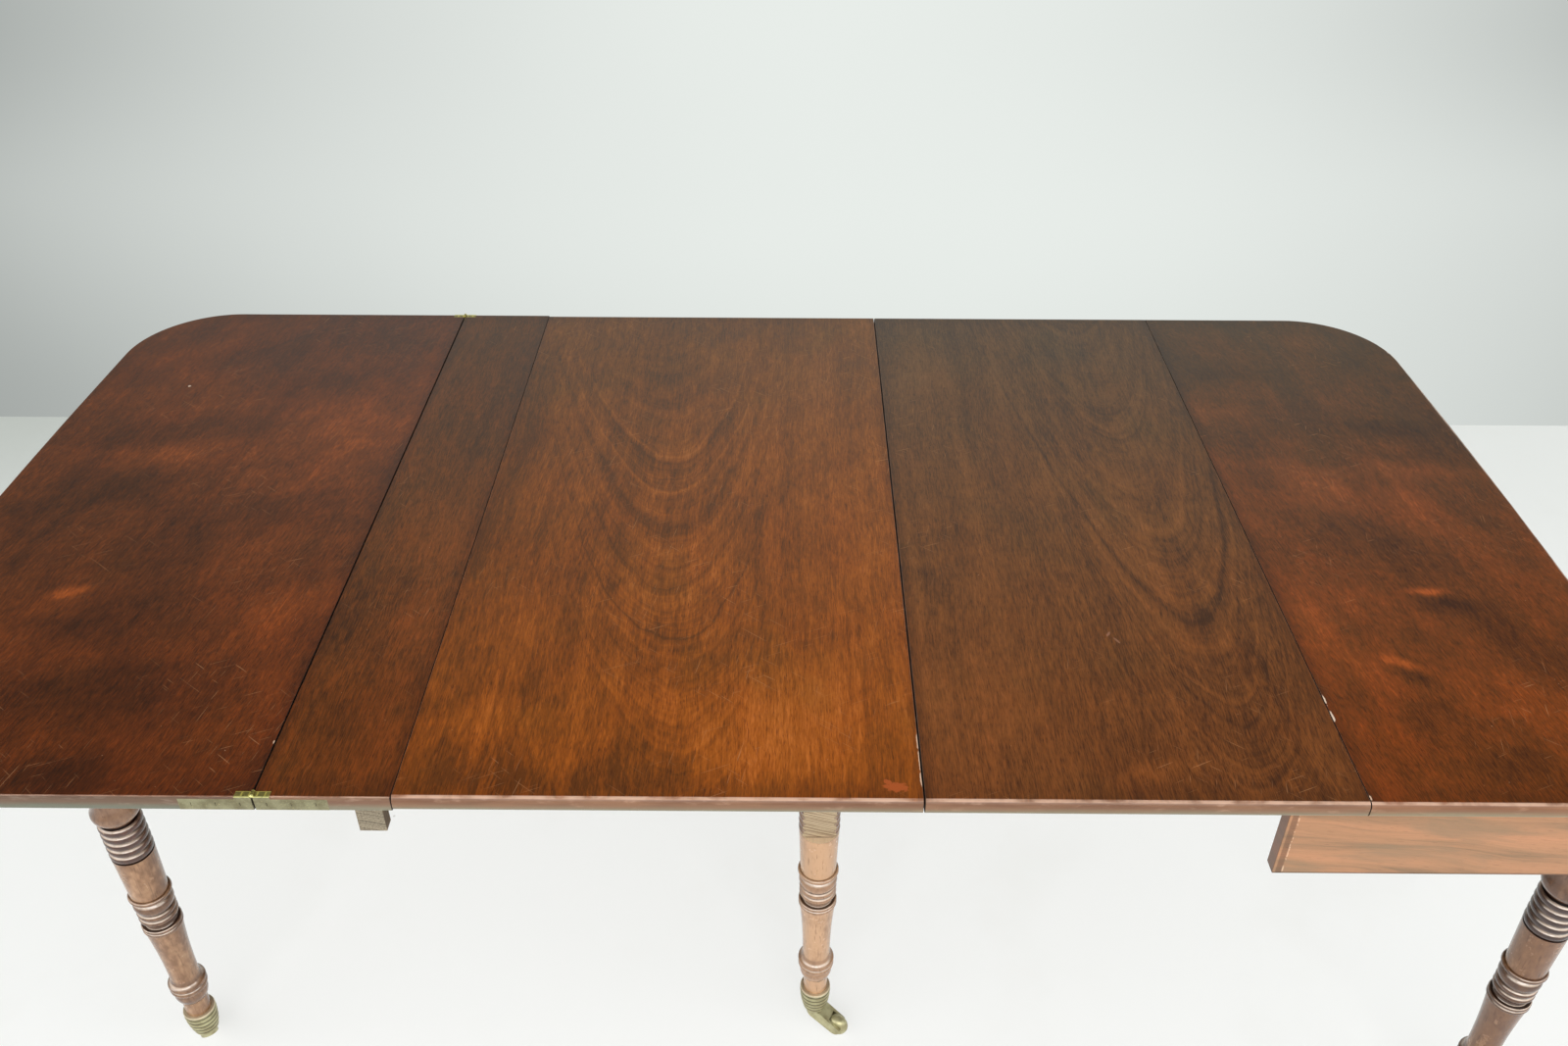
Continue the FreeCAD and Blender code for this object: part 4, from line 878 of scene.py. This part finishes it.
FLAP = board_figure(
    "flap_top", "flap", left=-NO_SEAM, polished_below=True, seed=3.7, tilt=-8, streak=0.30, chop=1.0,
    grain=0.62, mottle=0.58, flame=0.40, flame_turn=18, edge_tint=(0.62, 0.76, 0.86, 1.0), arris=0.40,
    far_tint=(0.77, 0.77, 0.60, 1.0), near_tint=(0.93, 0.76, 0.45, 1.0),
    spots=(
        (-928, -233, 48, 19, 12, 0.30), (-915, -250, 150, 60, 10, 0.04), (-956, 112, 210, 60, 10, 0.14),
        (-912, 263, 170, 46, 14, 0.12), (-996, 184, 150, 62, 16, -0.16), (-905, -306, 120, 50, -8, -0.14),
        (-700, 330, 120, 70, 0, -0.10), (-660, 170, 190, 330, 0, 0.22), (-1030, -60, 200, 300, 0, -0.10),
        (-740, -430, 150, 120, 0, -0.14), (-830, -565, 170, 70, 0, -0.24), (-610, -290, 90, 150, 0, 0.10),
        (-830, -140, 120, 120, 0, -0.18), (-890, 20, 140, 130, 0, -0.12), (-830, -290, 150, 90, 0, -0.14),
        (-920, -430, 240, 110, 0, -0.10),
    ),
    chips=((-970, 328, 4, 4, 0, BARE_CHIP), (-556.6, -513, 1.8, 5, 0, PALE_CHIP)),
)
STRIP = board_figure(
    "hinge_strip_top", "strip", seed=8.1, streak=0.42, mottle=0.60, grime=0.30, arris=0.6,
    edge_tint=(0.85, 0.92, 0.97, 1.0),
    far_tint=(0.55, 0.65, 0.63, 1.0), near_tint=(0.92, 0.76, 0.45, 1.0),
    spots=(
        (-525, -300, 80, 110, 0, -0.18), (-470, 90, 60, 170, 0, -0.04), (-500, -420, 70, 160, 8, 0.08),
        (-415, -480, 40, 160, 0, 0.12),
    ),
)
WIDE_LEAF = board_figure(
    "wide_leaf_top", "wide", seed=14.4, streak=0.54, mottle=0.58, ring_bend=15.0, ring_axis=-0.128,
    ring_drift=-0.09, ring=0.52, ring_fade=0.6, heart=0.05, grime=0.24,
    far_tint=(0.59, 0.74, 0.76, 1.0), near_tint=(1.04, 0.95, 0.55, 1.0),
    arcs=(
        (0.106, 0.014, 0.12), (0.050, 0.012, -0.08), (0.0, 0.014, 0.14), (-0.075, 0.030, -0.20),
        (-0.130, 0.014, 0.12), (-0.215, 0.012, -0.10), (-0.250, 0.012, 0.12), (-0.335, 0.008, -0.18),
    ),
    spots=(
        (-210, 420, 220, 140, 0, -0.10), (-60, 420, 90, 120, 0, 0.10), (160, 40, 50, 420, 0, 0.03),
        (-380, -60, 70, 800, 0, -0.22), (-330, -120, 120, 260, 0, -0.12), (-120, -80, 130, 300, 0, -0.06),
        (30, -480, 190, 170, 0, 0.30), (-140, -420, 120, 110, 0, 0.12), (60, 350, 100, 230, 0, 0.14),
        (-340, -565, 130, 70, 0, -0.22), (-160, -575, 200, 55, 0, -0.20), (-260, -140, 130, 170, 0, -0.12),
        (-330, -530, 80, 60, 0, -0.12), (-130, -530, 80, 60, 0, -0.12),
    ),
    chips=(
        (205.3, -505, 1.7, 26, 0, PALE_CHIP), (205.4, -535, 1.5, 30, 0, PALE_CHIP),
        (205.2, -565, 2.0, 22, 0, PALE_CHIP), (176, -578, 26, 13, 0, RED_STAIN),
        (166, -570, 9, 7, 0, RED_STAIN),
    ),
)
NARROW_LEAF = board_figure(
    "narrow_leaf_top", "narrow", seed=21.9, streak=0.54, mottle=0.48, ring_bend=24.0, ring_axis=0.585,
    ring_drift=-0.03, ring=0.42, grime=0.30,
    far_tint=(0.58, 0.76, 0.98, 1.0), near_tint=(1.03, 0.88, 0.80, 1.0),
    arcs=(
        (-0.472, 0.010, -0.16), (-0.430, 0.012, 0.10), (-0.385, 0.012, -0.10), (-0.335, 0.014, 0.08),
        (-0.285, 0.022, -0.14), (-0.205, 0.014, 0.08), (-0.125, 0.014, -0.08),
    ),
    spots=(
        (300, 250, 130, 420, 0, -0.03), (560, -100, 60, 300, 6, 0.04), (260, 390, 90, 220, 0, 0.12),
        (290, -430, 130, 110, 0, 0.10), (420, -420, 120, 120, 0, 0.08), (500, -560, 60, 26, 8, 0.16),
        (330, -100, 40, 420, -3, 0.08),
    ),
    chips=((478, -318, 3, 12, 30, (140, 96, 70)), (470, -306, 3, 10, -30, (146, 100, 76))),
)
FIXED_END = board_figure(
    "fixed_end_top", "end", right=NO_SEAM, seed=30.2, tilt=7, streak=0.30, chop=1.0, grain=0.62,
    mottle=0.58, flame=0.40, flame_turn=-16, edge_tint=(1.02, 0.98, 0.90, 1.0),
    far_tint=(0.48, 0.79, 1.08, 1.0), near_tint=(1.01, 0.88, 0.45, 1.0),
    spots=(
        (922, -216, 46, 16, -6, 0.40), (935, -246, 90, 30, -4, -0.15), (829, -353, 44, 18, -30, 0.30),
        (832, -378, 44, 22, -25, -0.22), (807, 396, 120, 60, -14, -0.12), (1026, 204, 130, 50, -12, -0.12),
        (1029, 89, 130, 40, -10, 0.14), (780, -430, 40, 160, -8, 0.12), (990, -430, 150, 70, -20, 0.08),
        (770, -110, 40, 200, 10, 0.08), (870, -535, 90, 60, 0, -0.14), (850, 40, 100, 120, -10, 0.18),
        (745, -300, 45, 120, 0, 0.14),
    ),
    chips=(
        (712.6, -428, 2.6, 15, 0, (224, 198, 174)), (712.8, -458, 3.0, 20, 0, (228, 204, 182)),
        (712.6, -590, 2.0, 8, 0, PALE_CHIP),
    ),
)
FIGURES = (FLAP, STRIP, WIDE_LEAF, NARROW_LEAF, FIXED_END)

# Lightness of the wood (painted light: lightest on the middle legs, where more light falls), depth of the
# rings' shade, and height where the bare flat starts
LEG_LOOKS = {"end": (0.42, 0.90, None), "middle": (0.84, 0.66, SAWN_FOOT), "outer": (0.58, 0.80, None)}
CARD_HINGE_LIGHTNESS = 0.55
APRON_ARRIS_SHARE = 1.6
RAILS_PER_SIDE = 4

# Stage: lengths in metres

FLOOR_REACH = 30
WALL_REACH = 9
WALL_HEIGHT = 5
# Place along X where the wall's painted light is brightest
WALL_BRIGHTEST = 0.35
WINDOWS = {
    "left_window": (-3.9, -2.5, 2.6),
    "front_window": (0.2, -4.4, 2.8),
    "right_window": (4.1, -2.5, 2.6),
}
WINDOW_WIDTH = 4.4
WINDOW_HEIGHT = 1.6
WINDOW_AIM = Vector((0, 0, 0.5))
# Camera and paints of the stage
SENSOR_MM = 36
FLOOR_FAR_SHADE = paint(200, 205, 199)
FLOOR_MARK = paint(200, 196, 180)
FLOOR_SPECK = paint(150, 146, 130)
WALL_PAINTED_SHADE = paint(118, 123, 121)
ROOM_LIGHT = paint(250, 252, 252)
ROOM_LOW = paint(226, 231, 228)


# Operators


class TABLE_OT_stage(bpy.types.Operator):
    """Sets the floor, wall, lights and camera."""

    bl_idname = "table.stage"
    bl_label = "Stage"
    bl_options = {"REGISTER", "UNDO"}

    def execute(self, context):
        stage = settings().stage
        self.floor(stage)
        self.wall(stage)
        self.windows(stage)
        self.room(stage)
        self.camera(stage)
        context.scene.view_settings.view_transform = "Standard"
        return {"FINISHED"}

    def plane(self, name, corners, material):
        mesh = bpy.data.meshes.new(name)
        mesh.from_pydata(corners, [], [(0, 1, 2, 3)])
        mesh.materials.append(material)
        piece = placed(name, mesh)

    def painted(self, f, base, glow):
        """Paint that shows its own colour to the camera and is clear from behind."""
        lit = f.node("ShaderNodeBsdfDiffuse", None, {"Color": base})
        shown = f.node("ShaderNodeEmission", None, {"Color": base, "Strength": 1.0})
        front = f.node("ShaderNodeMixShader", None, {0: f.room_seen() * glow, 1: lit, 2: shown})
        clear = f.node("ShaderNodeBsdfTransparent")
        back = f.node("ShaderNodeNewGeometry", output="Backfacing")
        both = f.node("ShaderNodeMixShader", None, {0: back, 1: front, 2: clear})
        f.node("ShaderNodeOutputMaterial", None, {"Surface": both})
        return f.owner

    def floor(self, stage):
        f = Finish("painted_floor")
        # Painted shade: the floor is painted darker towards the far side and the left
        left = f.x.rise(-0.4, -2.3)
        far = f.y.rise(0.0, 1.5)
        marks = f.noise(f.point(f.x * 1.4, f.y * 1.4), 2.2, 4.0, 0.6)
        base = f.mix(left * 0.15 + far * 0.36 + left * far * 0.5, stage.floor_colour[:], FLOOR_FAR_SHADE)
        base = f.mix(marks.rise(0.5, 0.75) * 0.06, base, FLOOR_MARK)
        base = f.mix(f.specks(f.place, 9.0, 0.03, 0.14) * 0.35, base, FLOOR_SPECK)
        reach = FLOOR_REACH
        corners = [(-reach, -reach, 0), (reach, -reach, 0), (reach, reach, 0), (-reach, reach, 0)]
        self.plane("floor", corners, self.painted(f, base, stage.floor_glow))

    def wall(self, stage):
        f = Finish("painted_wall")
        # Painted shade: the wall is painted darker away from its brightest place, at the sides and near the
        # floor, and dim above
        aside = f.x - WALL_BRIGHTEST
        shade_falloff = aside * aside * 0.099 + f.z.rise(0.6, 1.1) * f.x * f.x * 0.080
        shade_falloff = shade_falloff + f.z.rise(0.6, 0.0) * (0.10 - f.x * 0.035)
        clouds = f.noise(f.point(f.x, 0.0, f.z), 1.3, 2.0) - 0.5
        base = f.mix((shade_falloff + clouds * 0.05).capped(0.75, 0.45), stage.wall_colour[:], WALL_PAINTED_SHADE)
        base = f.mix(f.z.rise(1.25, 2.7), base, stage.upper_colour[:])
        y = stage.wall_place
        foot = [(-WALL_REACH, y, 0), (WALL_REACH, y, 0)]
        head = [(WALL_REACH, y, WALL_HEIGHT), (-WALL_REACH, y, WALL_HEIGHT)]
        self.plane("wall", foot + head, self.painted(f, base, 1.0))

    def windows(self, stage):
        for name, place in WINDOWS.items():
            lamp = bpy.data.lights.new(name, "AREA")
            lamp.shape = "RECTANGLE"
            lamp.size = WINDOW_WIDTH
            lamp.size_y = WINDOW_HEIGHT
            lamp.energy = stage.window_power * (1.0 if name == "front_window" else stage.side_share)
            window = placed(name, lamp)
            window.location = place
            window.rotation_euler = (WINDOW_AIM - window.location).to_track_quat("-Z", "Y").to_euler()

    def room(self, stage):
        """Soft light from all round; what is seen of it is paler below and dim above."""
        world = bpy.data.worlds.new("room_light")
        bpy.context.scene.world = world
        room = Tree(world)
        soft = room.node("ShaderNodeBackground", None, {"Color": ROOM_LIGHT, "Strength": stage.ambient})
        height = room.parts(room.node("ShaderNodeTexCoord", output="Generated"))[2]
        fade = room.mix(height.rise(0.2, 0.7), ROOM_LOW, stage.upper_colour[:])
        pale = room.node("ShaderNodeBackground", None, {"Color": fade, "Strength": 1.0})
        both = room.node("ShaderNodeMixShader", None, {0: room.room_seen(), 1: soft, 2: pale})
        room.node("ShaderNodeOutputWorld", None, {"Surface": both})

    def camera(self, stage):
        lens = bpy.data.cameras.new("camera")
        lens.sensor_width = SENSOR_MM
        lens.lens = stage.lens
        eye = placed("camera", lens)
        drop, turn = stage.pitch, stage.yaw
        level = Vector((math.cos(turn), math.sin(turn), 0))
        ahead = Vector((-math.sin(turn) * math.cos(drop), math.cos(turn) * math.cos(drop), -math.sin(drop)))
        down = ahead.cross(level)
        c, s = math.cos(stage.roll), math.sin(stage.roll)
        right = level * c - down * s
        up = -(level * s + down * c)
        rows = Matrix((right, up, -ahead)).transposed()
        eye.matrix_world = Matrix.Translation(stage.eye) @ rows.to_4x4()
        bpy.context.scene.camera = eye


class TABLE_OT_boards(bpy.types.Operator):
    """Finishes the five boards of the top."""

    bl_idname = "table.boards"
    bl_label = "Boards"
    bl_options = {"REGISTER", "UNDO"}

    def execute(self, context):
        table = settings()
        for figure in FIGURES:
            polish = board_finish(figure, getattr(table, figure.colours))
            softened(figure.node, table.wood_arris, polish)
        return {"FINISHED"}


class TABLE_OT_battens(bpy.types.Operator):
    """Finishes the bearers under the strip and the leaves."""

    bl_idname = "table.battens"
    bl_label = "Battens"
    bl_options = {"REGISTER", "UNDO"}

    def execute(self, context):
        material = batten_finish()
        for node in ("strip_battens", "wide_leaf_battens", "narrow_leaf_battens"):
            softened(node, settings().wood_arris, material)
        return {"FINISHED"}


class TABLE_OT_aprons(bpy.types.Operator):
    """Finishes the aprons of the fixed end."""

    bl_idname = "table.aprons"
    bl_label = "Aprons"
    bl_options = {"REGISTER", "UNDO"}

    def execute(self, context):
        material = apron_finish()
        for node in ("near_side_apron", "far_side_apron", "end_apron"):
            softened(node, settings().wood_arris * APRON_ARRIS_SHARE, material)
        return {"FINISHED"}


class TABLE_OT_legs(bpy.types.Operator):
    """Finishes the six turned legs."""

    bl_idname = "table.legs"
    bl_label = "Legs"
    bl_options = {"REGISTER", "UNDO"}

    def execute(self, context):
        for place, look in LEG_LOOKS.items():
            polish = leg_finish(f"{place}_leg_polish", *look)
            for way in ("near", "far"):
                give(NODES[f"{way}_{place}_leg"], polish)
        return {"FINISHED"}


class TABLE_OT_rails(bpy.types.Operator):
    """Finishes the folding rails, cross rails and blocks."""

    bl_idname = "table.rails"
    bl_label = "Rails"
    bl_options = {"REGISTER", "UNDO"}

    def execute(self, context):
        arris = settings().wood_arris
        lengthwise = rail_finish("rail_planed", True)
        crosswise = rail_finish("cross_rail_planed", False)
        for way in ("near", "far"):
            for place in range(1, RAILS_PER_SIDE + 1):
                softened(f"{way}_rail_{place}", arris, lengthwise)
        for node in ("middle_cross_rail", "outer_cross_rail", "rear_top_rail", "end_hinge_blocks"):
            softened(node, arris, crosswise)
        return {"FINISHED"}


class TABLE_OT_hinges(bpy.types.Operator):
    """Finishes the card hinges of the flap and the butt hinges of the frame."""

    bl_idname = "table.hinges"
    bl_label = "Hinges"
    bl_options = {"REGISTER", "UNDO"}

    def execute(self, context):
        card = brass_finish("card_hinge_brass", CARD_HINGE_LIGHTNESS, TOP_FACE)
        for piece in nodes_with("card_hinge"):
            give(piece, card)
        iron = iron_finish()
        for piece in nodes_with("_hinges"):
            give(piece, iron)
        return {"FINISHED"}


class TABLE_OT_casters(bpy.types.Operator):
    """Finishes the brass cups and casters."""

    bl_idname = "table.casters"
    bl_label = "Casters"
    bl_options = {"REGISTER", "UNDO"}

    def execute(self, context):
        brass = brass_finish("caster_brass")
        for piece in nodes_with("_leg_caps", "_caster_"):
            give(piece, brass)
        return {"FINISHED"}


MAKERS = (
    TABLE_OT_stage, TABLE_OT_boards, TABLE_OT_battens, TABLE_OT_aprons, TABLE_OT_legs, TABLE_OT_rails,
    TABLE_OT_hinges, TABLE_OT_casters,
)


class VIEW3D_PT_table(bpy.types.Panel):
    """Lists the steps that finish the table."""

    bl_idname = "VIEW3D_PT_table"
    bl_label = "Concertina table"
    bl_space_type = "VIEW_3D"
    bl_region_type = "UI"
    bl_category = "Table"

    def draw(self, context):
        for maker in MAKERS:
            self.layout.operator(maker.bl_idname)


GROUPS = (
    FlapColours, StripColours, WideLeafColours, NarrowLeafColours, FixedEndColours, WoodColours,
    MetalColours, StageSettings, TableSettings,
)
CLASSES = (*GROUPS, *MAKERS, VIEW3D_PT_table)


def register():
    for row in CLASSES:
        bpy.utils.register_class(row)
    bpy.types.Scene.concertina_table = PointerProperty(type=TableSettings)


def unregister():
    del bpy.types.Scene.concertina_table
    for row in reversed(CLASSES):
        bpy.utils.unregister_class(row)


def main():
    register()
    for maker in MAKERS:
        getattr(bpy.ops.table, maker.bl_idname.split(".")[1])()


if __name__ == "__main__":
    main()
